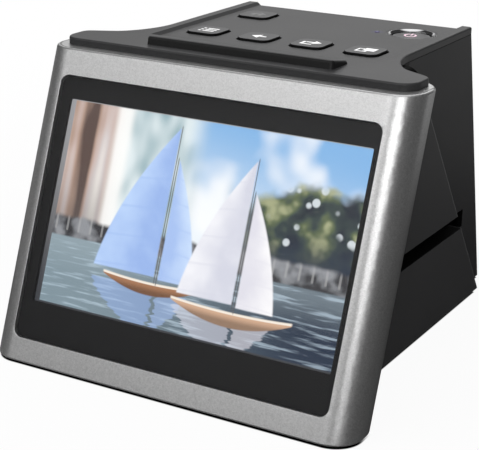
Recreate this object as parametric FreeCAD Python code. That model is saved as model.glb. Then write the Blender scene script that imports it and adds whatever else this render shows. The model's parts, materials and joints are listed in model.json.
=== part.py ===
import FreeCAD, Part
import math
import os
from FreeCAD import Rotation, Vector

# Film negative scanner with a leaning display, keys on top and a film slot from side to side.
# All sizes are in millimetres. X runs to the right, Y to the back and Z up. The origin is the
# middle of the outline, on the surface that the rubber feet stand on.
# A plan place of a piece that follows the leaning face is measured back from that face,
# at the piece's own height. A face place is (x, up the face), with a depth behind the face.

# The whole body
foot_stand = 0.8
face_lean = 20.45
rear_wall_set_forward = 23.3
body_half_width = 45.0
wall = 2.2
overrun = 1.0
seat_gap = 0.1
loose_gap = 0.3
upright_share = 0.9

# Front bezel
bezel_half_width = 66.8
bezel_depth = 19.5
bezel_front_radius = 9.5
bezel_rear_radius_share = 1.43
bezel_rear_start_share = 0.23
bezel_front_wall = 2.6
bezel_end_wall = 2.0
bezel_edge_round = 1.0
bezel_foot_round = 0.5
boss_radius = 2.6

# Display window, its printed mask and the opening behind it
window_side_margin = 8.8
window_low_edge = 8.2
window_top_margin = 8.78
window_radius = 3.0
window_thickness = 1.5
mask_thickness = 0.2
mask_side_border = 3.0
mask_low_border = 12.6
mask_top_border = 7.3
mask_open_height = 67.5
mask_side_shift = 0.9
mask_open_radius = 0.6

# Display module behind the window
gasket_outer_margin = 0.8
gasket_inner_margin = 0.1
gasket_thickness = 1.2
panel_margin_side = 2.5
panel_margin_end = 2.5
panel_thickness = 1.4
tray_margin = 1.5
tray_depth = 4.1
tray_corner_radius = 1.0
bracket_thickness = 1.0
bracket_ear_half_width = 5.0
bracket_boss_x = 25.0
bracket_boss_reach = 4.0
housing_boss_reach = 3.5

# Front housing: neck inside the bezel, partition, flared sides
neck_side_gap = 0.66
neck_start = 13.5
partition = 2.0
housing_boss_inset = 5.0
cable_hole_width = 14.0
cable_hole_height = 4.0
flare_straight = 2.42
flare_radius_share = 1.622
flare_turn = 37.6
flare_bend_share = 0.649
flare_bend_turn = 62.0

# Top cover
cover_front = 4.6
cover_side_inset = 3.3
cover_corner_radius = 6.0
cover_tip_share = 0.216
cover_thickness = 2.5
cover_edge_round = 0.7
cover_rear_corner_radius = 0.8
key_area_drop = 1.1
key_area_start = 24.5
key_area_ramp = 4.0
key_area_side_inset = 4.8
key_area_slope = 1.1
cover_plug = 1.0
cover_plug_gap = 0.3

# Raised wedge strip near the front of the cover
strip_half_width = 33.9
strip_side_shift = 0.9
strip_front = 4.4
strip_height = 3.0
strip_rear_height = 1.3
strip_front_slope = 0.6
strip_rear_slope = 0.4
strip_length = 10.5
strip_corner_radius = 1.4
strip_end_round = 1.1
strip_crest_round = 0.3

# Keys
key_side_margin = 10.35
key_row_place = 42.9
key_rear_margin = 19.7
key_size = 12.2
key_radius = 3.0
key_gap = 0.4
key_proud = 0.75
key_dish = 0.25
key_edge_round = 0.6
key_flange_margin = 1.3
key_flange_thickness = 0.8
key_flange_gap = 0.05
key_travel = 0.5
key_stem_radius = 2.0
key_stem_length = 1.0
power_key_set_back = 1.8
power_key_radius = 6.8
power_key_sink = 0.9
power_ring_width = 1.7
power_ring_funnel = 0.8
light_pipe_radius = 0.8
light_pipe_from_key = 11.2
light_pipe_forward = 4.0
light_pipe_proud = 0.15
light_pipe_flange = 0.4

# Tact switches on the keypad board
switch_side = 6.0
switch_height = 3.4
plunger_radius = 1.7
plunger_bore_gap = 0.06
plunger_proud = 1.6
plunger_depth = 1.0
board_thickness = 1.6
keypad_side_margin = 4.6
keypad_front_margin = 14.0
keypad_rear_margin = 7.2
keypad_screw_inset = 3.2
status_led_side = 1.6
status_led_height = 0.8

# Screws and what they go into
small_screw_radius = 1.0
small_screw_length = 5.0
small_screw_head_radius = 1.9
small_screw_head_height = 1.2
base_screw_radius = 1.25
base_screw_length = 8.0
base_screw_head_radius = 2.3
base_screw_head_height = 1.2
gate_screw_length = 18.0
recess_width = 0.6
recess_depth = 0.5
recess_reach_share = 0.6
pilot_gap = 0.04
hole_gap = 0.2

# Ledges and posts inside the shells
ledge_reach = 7.0
ledge_half_length = 3.5
ledge_thickness = 2.4
post_radius = 3.5
post_height = 12.0
cover_ledge_share = 0.521
cover_ledge_from_rear = 6.2
rear_post_inset = 5.8
rear_post_from_rear = 13.0
front_post_inset = 5.38
front_post_place = 25.0
lip_thickness = 1.2
lip_reach = 4.0
lip_height_margin = 8.0

# Base plate and feet
base_thickness = 2.4
foot_radius = 5.0
foot_sink = 1.4
rear_foot_inset = 12.0
rear_foot_from_rear = 29.8
front_foot_from_post = 10.0
front_foot_place = 26.5
foot_edge_round = 0.4

# Film slot and gates
slot_low = 30.1
slot_height = 5.2
slot_front = 60.0
slot_length = 59.0
slot_mouth_reach = 17.3
slot_mouth_drop = 4.2
slot_mouth_height = 6.5
slot_rear_margin = 38.02
gate_thickness = 2.0
rail_width = 4.0
gate_side_gap = 0.2
aperture_width = 40.0
aperture_length = 30.0
gate_screw_inset = 4.8
spring_side = 24.0
spring_length = 11.0
spring_height = 3.0
spring_thickness = 0.3
spring_pocket_depth = 1.2
spring_bulge = 0.6

# Side cheeks
cheek_proud = 5.0
cheek_wall = 2.0
cheek_rim = 2.5
cheek_end_from_rear = 12.8
cheek_top_reach = 19.1
cheek_top_round = 4.0
cheek_edge_round = 0.7
cheek_boss_radius = 2.6
cheek_screw_lift = 8.0
cheek_screw_from_top = 24.5
cheek_screw_from_seam = 16.6
cheek_screw_top_from_seam = 10.4
cheek_screw_from_edge = 13.3

# Light box under the film
light_box_half_width = 28.0
light_box_half_length = 21.0
light_box_wall = 1.6
light_board_lift = 3.0
led_rows = 3
led_columns = 4
led_pitch = 10.0
led_side = 3.0
led_height = 1.0
diffuser_thickness = 1.5
diffuser_ledge = 1.2

# Camera over the film
camera_flange_margin = 4.0
camera_flange_thickness = 3.2
camera_half_width = 23.0
camera_half_length = 18.0
camera_wall = 1.5
camera_step_from_top = 16.0
camera_neck_half_width = 13.0
camera_board_gap = 3.5
lens_web_from_top = 12.0
lens_web_thickness = 6.0
barrel_radius = 8.0
barrel_bore_radius = 5.6
barrel_length = 12.0
barrel_lip = 0.8
lens_thickness = 2.6
lens_curve_radius = 16.0
sensor_board_half_width = 15.0
sensor_width = 8.0
sensor_length = 6.0
sensor_height = 1.2

# Main board and its sockets
main_board_from_top = 17.4
main_board_side_gap = 2.8
main_board_front = 62.0
main_board_wall_gap = 1.2
board_ledge_length = 8.0
board_ledge_thickness = 4.5
board_ledge_reach = 6.5
board_ledge_from_front = 20.0
board_ledge_from_rear = 8.0
usb_place = 26.0
usb_width = 9.0
usb_height = 3.2
usb_length = 7.4
hdmi_place = 10.0
hdmi_width = 11.2
hdmi_height = 3.6
hdmi_length = 7.6
card_place = -16.0
card_socket_width = 28.0
card_socket_height = 3.0
card_socket_length = 26.0
card_slot_width = 24.6
card_slot_height = 2.3
card_slot_depth = 22.0
socket_shell = 0.4
socket_reach = 0.7
socket_hole_gap = 0.5
processor_side = 14.0
memory_width = 9.0
memory_length = 12.0
chip_height = 1.1
chip_from_front = 21.0
capacitor_radius = 2.5
capacitor_height = 3.4
ribbon_socket_width = 11.0
ribbon_socket_length = 4.0
ribbon_socket_height = 1.6

# Ribbon cables
ribbon_width = 10.0
ribbon_thickness = 0.3
ribbon_bend_radius = 2.0

# Worked out from the sizes above
lean = math.radians(face_lean)
lean_slope = math.tan(lean)
window_width = 2 * (bezel_half_width - window_side_margin)
window_height = mask_low_border + mask_open_height + mask_top_border
mask_open_width = window_width - 2 * mask_side_border
mask_low_edge = window_low_edge + mask_low_border
face_length = window_low_edge + window_height + window_top_margin
shell_height = face_length * math.cos(lean)
base_level = foot_stand
plate_top = base_level + base_thickness
shell_top = base_level + shell_height
cover_top = shell_top + cover_thickness
key_area_level = cover_top - key_area_drop
cover_under = shell_top - cover_plug
cover_cut = cover_plug + cover_thickness + 2 * overrun
foot_corner = math.radians(90 - face_lean)
foot_round_loss = bezel_foot_round * (1 / math.tan(foot_corner / 2) - 1)
overall_depth = slot_front + slot_length + slot_rear_margin - foot_round_loss
face_foot = -overall_depth / 2 - foot_round_loss
rear_foot_line = overall_depth / 2
rear_slope = rear_wall_set_forward / shell_height
rear_lean = math.atan(rear_slope)
cover_half_width = bezel_half_width - cover_side_inset
bezel_side_end = bezel_front_radius + bezel_rear_start_share * (bezel_depth - bezel_front_radius)
bezel_rear_run = bezel_depth - bezel_side_end
bezel_rear_radius = bezel_rear_run * bezel_rear_radius_share
bezel_rear_reach = math.sqrt((bezel_rear_radius - wall) ** 2 - bezel_rear_run ** 2)
neck_half_width = bezel_half_width - bezel_rear_radius + bezel_rear_reach - neck_side_gap
flare_span = cover_half_width - body_half_width
flare_radius = flare_span * flare_radius_share
flare_bend_radius = flare_span * flare_bend_share
cover_tip_radius = flare_span * cover_tip_share
flare_bend_run = math.sin(math.radians(flare_bend_turn)) - math.sin(math.radians(flare_turn))
flare_run = flare_radius * math.sin(math.radians(flare_turn)) + flare_bend_radius * flare_bend_run
flare_end = bezel_depth + flare_straight + flare_run
slot_floor = base_level + slot_low
slot_ceiling = slot_floor + slot_height
slot_start = face_foot + slot_front
slot_end = slot_start + slot_length
mouth_floor = slot_floor - slot_mouth_drop
scan_y = slot_start + slot_length / 2
gate_under = slot_floor - gate_thickness
gate_top = slot_ceiling + gate_thickness
inner_half_width = body_half_width - wall
key_area_half_width = body_half_width - key_area_side_inset
key_pitch = (key_area_half_width - key_side_margin) / 1.5
keypad_half_width = 1.5 * key_pitch + keypad_side_margin
housing_boss_x = mask_open_width / 2 - housing_boss_inset
rear_post_side = inner_half_width - rear_post_inset
rear_foot_side = body_half_width - rear_foot_inset
gate_screw_side = inner_half_width - gate_screw_inset
main_board_half_width = inner_half_width - main_board_side_gap
x_axis = Vector(1, 0, 0)
y_axis = Vector(0, 1, 0)
z_axis = Vector(0, 0, 1)


def plan_y(place, height):
    """Y of a plan place measured back from the leaning face, at a height."""
    return face_foot + (height - base_level) * lean_slope + place


def rear_y(height):
    """Y of the rear wall's outside at a height."""
    return rear_foot_line - (height - base_level) * rear_slope


def on_circle(centre, radius, degrees):
    """Point on a circle in plan."""
    turn = math.radians(degrees)
    return (centre[0] + radius * math.cos(turn), centre[1] + radius * math.sin(turn))


def closed_wire(start, steps, place):
    """Closed wire from a start point. A step is an end point, or an arc's middle and end points."""
    edges = []
    here = place(start)
    for step in steps:
        if isinstance(step[0], tuple):
            there = place(step[1])
            edges.append(Part.Arc(here, place(step[0]), there).toShape())
        else:
            there = place(step)
            edges.append(Part.LineSegment(here, there).toShape())
        here = there
    return Part.Wire(edges)


def in_plan(height, shift=0.0):
    return lambda point: Vector(point[0], point[1] + shift, height)


def in_side(x):
    return lambda point: Vector(x, point[0], point[1])


def box(x0, x1, y0, y1, z0, z1):
    return Part.makeBox(x1 - x0, y1 - y0, z1 - z0, Vector(x0, y0, z0))


def block_at(x, y, half_x, half_y, z0, z1):
    """Box with its middle at a place in plan."""
    return box(x - half_x, x + half_x, y - half_y, y + half_y, z0, z1)


def rod(centre, direction, radius, length):
    return Part.makeCylinder(radius, length, centre, direction)


def side_prism(points, x0, x1):
    """Prism along X of an outline given as (y, z) points."""
    wire = closed_wire(points[0], list(points[1:]) + [points[0]], in_side(x0))
    return Part.Face(wire).extrude(Vector(x1 - x0, 0, 0))


def lean_prism(start, steps, z0, z1):
    """Prism that follows the face's lean, from a plan outline measured back from the face."""
    wire = closed_wire(start, steps, in_plan(z0, plan_y(0, z0)))
    return Part.Face(wire).extrude(Vector(0, (z1 - z0) * lean_slope, z1 - z0))


def rounded_square(width, length, radius, place):
    """Wire of a rounded rectangle about the origin of its own plane."""
    x = width / 2
    y = length / 2
    cut = radius * (1 - math.sqrt(0.5))
    steps = [
        (x - radius, -y), ((x - cut, cut - y), (x, radius - y)),
        (x, y - radius), ((x - cut, y - cut), (x - radius, y)),
        (radius - x, y), ((cut - x, y - cut), (-x, y - radius)),
        (-x, radius - y), ((cut - x, cut - y), (radius - x, -y)),
    ]
    return closed_wire((radius - x, -y), steps, place)


def onto_face(shape):
    """Moves a piece drawn upright, with depth along Y, onto the leaning face."""
    shape.rotate(Vector(0, 0, 0), x_axis, -face_lean)
    shape.translate(Vector(0, face_foot, base_level))
    return shape


def face_plate(width, height, radius, middle, front, back, side=0.0):
    """Rounded plate that lies parallel to the face, between two depths."""
    place = lambda point: Vector(point[0] + side, front, point[1] + middle)
    plate = Part.Face(rounded_square(width, height, radius, place))
    return onto_face(plate.extrude(Vector(0, back - front, 0)))


def face_rod(x, up, radius, front, back):
    return onto_face(rod(Vector(x, front, up), y_axis, radius, back - front))


def face_box(x0, x1, up0, up1, front, back):
    return onto_face(box(x0, x1, front, back, up0, up1))


def joined(shapes):
    return shapes[0].multiFuse(shapes[1:]).removeSplitter()


def without(shape, tools):
    return shape.cut(Part.Compound(tools))


def rounded(shape, radius, wanted):
    """Rounds the edges for which the test holds."""
    edges = [edge for edge in shape.Edges if wanted(edge)]
    return shape.makeFillet(radius, edges)


def upright(edge):
    ends = [vertex.Point for vertex in edge.Vertexes]
    return len(ends) == 2 and abs(ends[1].z - ends[0].z) > edge.Length * upright_share


def at_height(edge, height):
    size = edge.BoundBox
    return abs(size.ZMin - height) < seat_gap and abs(size.ZMax - height) < seat_gap


def save(name, *solids):
    """Writes one node: a single solid, or a group of separate alike ones."""
    shape = solids[0] if len(solids) == 1 else Part.Compound(list(solids))
    if len(solids) == 1 and len(shape.Solids) == 1:
        shape = shape.Solids[0]
    shape.exportStep("parts/" + name + ".step")
    print(name, len(shape.Solids), "solid(s), volume", round(shape.Volume, 1), "valid", shape.isValid())


# Screws

def screw(radius, length, head_radius, head_height):
    """Pan-head screw along Z, its head under the origin and its tip up, with a cross recess."""
    body = joined([
        rod(Vector(0, 0, 0), z_axis, radius, length),
        rod(Vector(0, 0, -head_height), z_axis, head_radius, head_height),
    ])
    reach = head_radius * recess_reach_share
    half = recess_width / 2
    low = -head_height - overrun
    top = recess_depth - head_height
    return without(body, [block_at(0, 0, reach, half, low, top), block_at(0, 0, half, reach, low, top)])


small_head = (small_screw_head_radius, small_screw_head_height)
base_head = (base_screw_head_radius, base_screw_head_height)
small_screw = screw(small_screw_radius, small_screw_length, *small_head)
base_screw = screw(base_screw_radius, base_screw_length, *base_head)
gate_screw = screw(base_screw_radius, gate_screw_length, *base_head)


def driven(template, seat, direction):
    """Copy of a screw with its head's underside on a seat, pointing along a direction."""
    piece = template.copy()
    piece.Placement = FreeCAD.Placement(seat, Rotation(z_axis, direction))
    return piece


def pilot(seat, direction, radius, length):
    return rod(seat, direction, radius + pilot_gap, length)


def through(seat, direction, radius, thickness):
    return rod(seat - direction * overrun, direction, radius + hole_gap, thickness + 2 * overrun)


face_up = Vector(0, math.sin(lean), math.cos(lean))
face_in = Vector(0, math.cos(lean), -math.sin(lean))


def face_point(x, up, depth):
    return Vector(x, face_foot, base_level) + face_up * up + face_in * depth


# Outlines that several pieces share

def bezel_outline(inset):
    """Plan of the bezel's rounded bar, drawn in by an inset, from one rear corner to the other."""
    centre = (bezel_half_width - bezel_front_radius, bezel_front_radius)
    radius = bezel_front_radius - inset
    rear_centre = (bezel_half_width - bezel_rear_radius, bezel_side_end)
    rear_radius = bezel_rear_radius - inset
    end_turn = math.degrees(math.asin(bezel_rear_run / rear_radius))
    mid = on_circle(centre, radius, -45)
    side = (bezel_half_width - inset, bezel_side_end)
    rear_mid = on_circle(rear_centre, rear_radius, end_turn / 2)
    rear_end = on_circle(rear_centre, rear_radius, end_turn)
    past = [(rear_end[0], bezel_depth + overrun)] if inset else []
    flip = lambda point: (-point[0], point[1])
    start = (-centre[0], inset)
    steps = [
        (centre[0], inset), (mid, (bezel_half_width - inset, bezel_front_radius)),
        side, (rear_mid, rear_end), *past,
        *map(flip, past), flip(rear_end), (flip(rear_mid), flip(side)),
        (inset - bezel_half_width, bezel_front_radius), (flip(mid), start),
    ]
    return start, steps


def flare_side(inset):
    """Right side of the flare, from the straight body forward, drawn in by an inset."""
    first = (body_half_width + flare_radius, flare_end)
    bend = on_circle(first, -flare_radius, flare_turn)
    second = on_circle(bend, flare_bend_radius, flare_turn)
    start = (body_half_width - inset, flare_end)
    mid = on_circle(first, -flare_radius - inset, flare_turn / 2)
    joint = on_circle(first, -flare_radius - inset, flare_turn)
    bend_mid = on_circle(second, -flare_bend_radius - inset, (flare_turn + flare_bend_turn) / 2)
    bend_end = on_circle(second, -flare_bend_radius - inset, flare_bend_turn)
    return start, (mid, joint), (bend_mid, bend_end)


def flare_line(inset):
    """Point where the flare's straight outer stretch meets the bezel's rear, in plan."""
    turn = math.radians(flare_bend_turn)
    end = flare_side(inset)[2][1]
    ahead = (end[1] - bezel_depth) / math.cos(turn)
    return (end[0] + ahead * math.sin(turn), bezel_depth)


def flare_outline(inset):
    """Closed plan of the flared housing between the bezel's rear and the straight body."""
    start, (mid, joint), (bend_mid, bend_end) = flare_side(inset)
    front = flare_line(inset)
    flip = lambda point: (-point[0], point[1])
    steps = [
        (mid, joint), (bend_mid, bend_end), front,
        flip(front), flip(bend_end), (flip(bend_mid), flip(joint)), (flip(mid), flip(start)), start,
    ]
    return start, steps


def flare_x(place):
    """Half width of the flare's first curve at a plan place."""
    rise = (flare_end - place) / flare_radius
    return body_half_width + flare_radius * (1 - math.sqrt(1 - rise * rise))


# Positions that pieces share

window_middle = window_low_edge + window_height / 2
mask_middle = mask_low_edge + mask_open_height / 2
mask_back = window_thickness + mask_thickness
panel_front = mask_back + gasket_thickness
panel_back = panel_front + panel_thickness
tray_back = panel_front + tray_depth
panel_width = mask_open_width + 2 * panel_margin_side
panel_height = mask_open_height + 2 * panel_margin_end
tray_width = panel_width + 2 * tray_margin
tray_height = panel_height + 2 * tray_margin
bracket_back = tray_back + bracket_thickness
partition_front = neck_start * math.cos(lean)
partition_back = partition_front + partition
housing_bosses = [
    (side * housing_boss_x, mask_middle + end * (tray_height / 2 + housing_boss_reach))
    for side in (-1, 1)
    for end in (-1, 1)
]
bracket_bosses = [
    (side * bracket_boss_x, mask_middle + end * (tray_height / 2 + bracket_boss_reach))
    for side in (-1, 1)
    for end in (-1, 1)
]
key_row_y = plan_y(key_row_place, shell_top)
key_rear_y = rear_y(shell_top) - key_rear_margin
key_places = {
    "mode_key": (-1.5 * key_pitch, key_row_y),
    "left_key": (-0.5 * key_pitch, key_row_y),
    "right_key": (0.5 * key_pitch, key_row_y),
    "ok_key": (1.5 * key_pitch, key_row_y),
    "home_key": (-1.5 * key_pitch, key_rear_y),
    "power_key": (1.5 * key_pitch, key_rear_y + power_key_set_back),
}
power_key_y = key_places["power_key"][1]
light_place = (1.5 * key_pitch - light_pipe_from_key, power_key_y - light_pipe_forward)
flange_top = cover_under - key_flange_gap
flange_under = flange_top - key_flange_thickness
stem_end = flange_under - key_stem_length
keypad_top = stem_end - plunger_proud - switch_height
keypad_under = keypad_top - board_thickness
keypad_front = key_row_y - keypad_front_margin
keypad_rear = key_rear_y + keypad_rear_margin
keypad_screws = [
    (side * (keypad_half_width - keypad_screw_inset), y)
    for side in (-1, 0, 1)
    for y in (keypad_front + keypad_screw_inset, (key_row_y + key_rear_y) / 2)
    if side or y > key_row_y
]
cover_ledge_under = cover_under - ledge_thickness - small_screw_length / 2
cover_ledge_top = cover_ledge_under + ledge_thickness
cover_front_y = plan_y(bezel_depth + cover_ledge_share * (flare_end - bezel_depth), cover_ledge_top)
cover_rear_y = rear_y(shell_top) - cover_ledge_from_rear
cover_ledge_x = inner_half_width - ledge_reach / 2 - cover_plug_gap
cover_screw_seats = [(side * cover_ledge_x, y) for side in (-1, 1) for y in (cover_front_y, cover_rear_y)]
base_screw_places = [(side * rear_post_side, rear_foot_line - rear_post_from_rear) for side in (-1, 1)]
front_post_side = flare_x(front_post_place) - front_post_inset
front_screw_places = [(side * front_post_side, plan_y(front_post_place, plate_top)) for side in (-1, 1)]
base_screw_seat = base_level + base_screw_head_height + seat_gap
gate_front = slot_start - rail_width
gate_rear = slot_end + rail_width
gate_screw_places = [
    (side * gate_screw_side, y)
    for side in (-1, 1)
    for y in (slot_start - rail_width / 2, slot_end + rail_width / 2)
]
main_board_under = shell_top - main_board_from_top
main_board_top = main_board_under + board_thickness
main_board_front_y = face_foot + main_board_front
main_board_rear_y = rear_y(main_board_top) - wall / math.cos(rear_lean) - main_board_wall_gap
board_ledge_x = inner_half_width - board_ledge_reach / 2
board_screw_places = [
    (side * board_ledge_x, y)
    for side in (-1, 1)
    for y in (main_board_front_y + board_ledge_from_front, main_board_rear_y - board_ledge_from_rear)
]

sensor_board_top = main_board_under - camera_board_gap
camera_top = sensor_board_top - board_thickness
camera_screw_x = camera_half_width + camera_flange_margin / 2 + wall
camera_screw_places = [
    (side * camera_screw_x, scan_y + end * (camera_half_length - wall))
    for side in (-1, 1)
    for end in (-1, 1)
]
display_ribbon_x = 0.0
light_ribbon_x = light_box_half_width - ribbon_socket_width
light_ribbon_y = main_board_rear_y - ribbon_socket_length
light_cable_level = plate_top + light_board_lift + board_thickness + ribbon_thickness
board_middle_y = (main_board_front_y + main_board_rear_y) / 2


# Display

def front_bezel():
    """Rounded bar frame, open at the back, with the window's recess and screw bosses."""
    start, steps = bezel_outline(0.0)
    shell = lean_prism(start, steps, base_level, shell_top)
    rear_line = plan_y(bezel_depth, shell_top)
    shell = rounded(
        shell, bezel_edge_round,
        lambda edge: at_height(edge, shell_top) and edge.BoundBox.YMin < rear_line - seat_gap,
    )
    rear_line = plan_y(bezel_depth, base_level)
    shell = rounded(
        shell, bezel_foot_round,
        lambda edge: at_height(edge, base_level) and edge.BoundBox.YMin < rear_line - seat_gap,
    )
    start, steps = bezel_outline(wall)
    hollow = lean_prism(start, steps, base_level + bezel_end_wall, shell_top - bezel_end_wall)
    front = face_box(
        -bezel_half_width, bezel_half_width, -face_length, 2 * face_length, -overrun, bezel_front_wall,
    )
    shell = shell.cut(hollow.cut(front))
    root = bezel_front_wall - seat_gap
    posts = [face_rod(x, up, boss_radius, root, partition_front) for x, up in housing_bosses]
    posts += [face_rod(x, up, boss_radius, root, tray_back) for x, up in bracket_bosses]
    recess = face_plate(
        window_width + 2 * seat_gap, window_height + 2 * seat_gap, window_radius + seat_gap,
        window_middle, -overrun, mask_back,
    )
    opening = face_plate(
        mask_open_width + 2 * (gasket_outer_margin + seat_gap),
        mask_open_height + 2 * (gasket_outer_margin + seat_gap),
        mask_open_radius + seat_gap, mask_middle, -overrun, bezel_front_wall + overrun, mask_side_shift,
    )
    reach = small_screw_length + seat_gap
    pilots = [
        pilot(face_point(x, up, depth), -face_in, small_screw_radius, reach)
        for bosses, depth in ((housing_bosses, partition_back), (bracket_bosses, bracket_back))
        for x, up in bosses
    ]
    return without(joined([shell] + posts), [recess, opening] + pilots)


def display_window():
    return face_plate(window_width, window_height, window_radius, window_middle, 0, window_thickness)


def display_mask():
    sheet = face_plate(
        window_width, window_height, window_radius, window_middle, window_thickness, mask_back,
    )
    opening = face_plate(
        mask_open_width, mask_open_height, mask_open_radius, mask_middle,
        window_thickness - overrun, mask_back + overrun, mask_side_shift,
    )
    return sheet.cut(opening)


def display_gasket():
    width = mask_open_width + 2 * gasket_outer_margin
    height = mask_open_height + 2 * gasket_outer_margin
    frame = face_plate(
        width, height, mask_open_radius, mask_middle, mask_back, panel_front, mask_side_shift,
    )
    opening = face_plate(
        mask_open_width + 2 * gasket_inner_margin, mask_open_height + 2 * gasket_inner_margin,
        mask_open_radius, mask_middle, mask_back - overrun, panel_front + overrun, mask_side_shift,
    )
    return frame.cut(opening)


def lcd_panel():
    return face_plate(
        panel_width, panel_height, mask_open_radius, mask_middle, panel_front, panel_back, mask_side_shift,
    )


def backlight_tray():
    tray = face_plate(
        tray_width, tray_height, tray_corner_radius, mask_middle, panel_front, tray_back, mask_side_shift,
    )
    pocket = face_plate(
        panel_width + 2 * seat_gap, panel_height + 2 * seat_gap, mask_open_radius, mask_middle,
        panel_front - overrun, panel_back, mask_side_shift,
    )
    return tray.cut(pocket)


def display_bracket():
    """Sheet metal plate behind the tray, with four ears on the bezel's bosses."""
    plate = face_plate(
        tray_width, tray_height, tray_corner_radius, mask_middle, tray_back, bracket_back, mask_side_shift,
    )
    ears = [
        face_box(
            x - bracket_ear_half_width, x + bracket_ear_half_width,
            min(up, mask_middle) - (bracket_ear_half_width if up < mask_middle else 0),
            max(up, mask_middle) + (bracket_ear_half_width if up > mask_middle else 0),
            tray_back, bracket_back,
        )
        for x, up in bracket_bosses
    ]
    holes = [
        through(face_point(x, up, bracket_back), -face_in, small_screw_radius, bracket_thickness)
        for x, up in bracket_bosses
    ]
    return without(joined([plate] + ears), holes)


# Case

def cheek_edge_y(height):
    """Y of the cheeks' slanting rear edge at a height."""
    low = rear_foot_line - cheek_end_from_rear
    high = plan_y(bezel_depth + cheek_top_reach, shell_top)
    return low + (high - low) * (height - base_level) / shell_height


def upper_cheek_screws():
    low = slot_ceiling + cheek_screw_lift
    high = shell_top - cheek_screw_from_top
    return [
        (plan_y(flare_end, low) + cheek_screw_from_seam, low),
        (plan_y(flare_end, high) + cheek_screw_top_from_seam, high),
    ]


def lower_cheek_screws():
    level = (base_level + slot_floor) / 2
    return [
        (plan_y(flare_end, level) + cheek_screw_from_seam, level),
        (cheek_edge_y(level) - cheek_screw_from_edge, level),
    ]


def cover_ledges(y):
    """Pair of ledges that the cover's bosses are screwed to."""
    reach = wall + ledge_reach
    pieces = []
    for side in (-1, 1):
        x0, x1 = sorted((side * (inner_half_width - ledge_reach), side * (inner_half_width + reach)))
        y0 = y - ledge_half_length
        pieces.append(box(x0, x1, y0, y0 + 2 * ledge_half_length, cover_ledge_under, cover_ledge_top))
    return pieces


def front_housing():
    """Black shell behind the bezel: neck, partition and flared side walls."""
    start, steps = flare_outline(0.0)
    outer = lean_prism(start, steps, plate_top, shell_top)
    start, steps = flare_outline(wall)
    inner = lean_prism(start, steps, plate_top - overrun, shell_top + overrun)
    neck_low = plate_top
    neck_high = shell_top - bezel_end_wall - loose_gap
    neck_plan = [
        (neck_half_width, neck_start), (neck_half_width, bezel_depth + overrun),
        (-neck_half_width, bezel_depth + overrun), (-neck_half_width, neck_start),
    ]
    neck = lean_prism(neck_plan[-1], neck_plan, neck_low, neck_high)
    hollow_half = neck_half_width - wall
    partition_rear = neck_start + partition / math.cos(lean)
    hollow_plan = [
        (hollow_half, partition_rear), (hollow_half, flare_end),
        (-hollow_half, flare_end), (-hollow_half, partition_rear),
    ]
    neck_hollow = lean_prism(hollow_plan[-1], hollow_plan, neck_low + wall, neck_high - wall)
    walls = outer.cut(inner)
    ledges = [ledge.common(outer) for ledge in cover_ledges(cover_front_y)]
    posts = []
    for x, y in front_screw_places:
        posts.append(rod(Vector(x, y, plate_top), z_axis, post_radius, post_height))
        x0, x1 = sorted((x, math.copysign(bezel_half_width, x)))
        rib = box(x0, x1, y - wall / 2, y + wall / 2, plate_top, plate_top + post_height)
        posts.append(rib.common(outer))
    shell = joined([walls, neck.cut(neck_hollow)] + ledges + [post.common(outer) for post in posts])
    holes = [
        through(face_point(x, up, partition_back), -face_in, small_screw_radius, partition)
        for x, up in housing_bosses
    ]
    holes += [
        through(Vector(x, y, cover_ledge_under), z_axis, small_screw_radius, ledge_thickness)
        for x, y in cover_screw_seats if y == cover_front_y
    ]
    holes += [
        pilot(Vector(x, y, base_screw_seat), z_axis, base_screw_radius, base_screw_length)
        for x, y in front_screw_places
    ]
    holes.append(face_box(
        -cable_hole_width / 2, cable_hole_width / 2, mask_middle, mask_middle + cable_hole_height,
        partition_front - overrun, partition_back + overrun,
    ))
    return without(shell, holes)


def cover_outline_edges():
    """Plan of the cover, in real Y, from the right rear corner forward and round."""
    shift = plan_y(0, shell_top)
    turn = math.radians(flare_bend_turn)
    start, (mid, joint), (bend_mid, bend_end) = flare_side(0.0)
    tip_x = cover_half_width - cover_tip_radius
    inward = (-math.cos(turn), -math.sin(turn))
    across = (tip_x - bend_end[0]) * inward[0]
    tip_y = bend_end[1] + (cover_tip_radius - across) / inward[1]
    tip = (tip_x, tip_y)
    corner_radius = min(cover_corner_radius, tip_y - cover_front - seat_gap)
    corner = (cover_half_width - corner_radius, cover_front + corner_radius)
    rear = rear_y(shell_top) - shift
    rear_corner = (body_half_width - cover_rear_corner_radius, rear - cover_rear_corner_radius)
    right = [
        (on_circle(rear_corner, cover_rear_corner_radius, 45), (body_half_width, rear_corner[1])),
        start, (mid, joint), (bend_mid, bend_end),
        on_circle(tip, cover_tip_radius, flare_bend_turn),
        (on_circle(tip, cover_tip_radius, flare_bend_turn / 2), (cover_half_width, tip_y)),
        (cover_half_width, corner[1]),
        (on_circle(corner, corner_radius, -45), (corner[0], cover_front)),
    ]
    flip = lambda point: (-point[0], point[1])
    first = (rear_corner[0], rear)
    points = [first] + [step[1] if isinstance(step[0], tuple) else step for step in right]
    left = []
    for step, before in reversed(list(zip(right, points))):
        left.append((flip(step[0]), flip(before)) if isinstance(step[0], tuple) else flip(before))
    return first, right + [flip(points[-1])] + left + [first]


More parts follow.
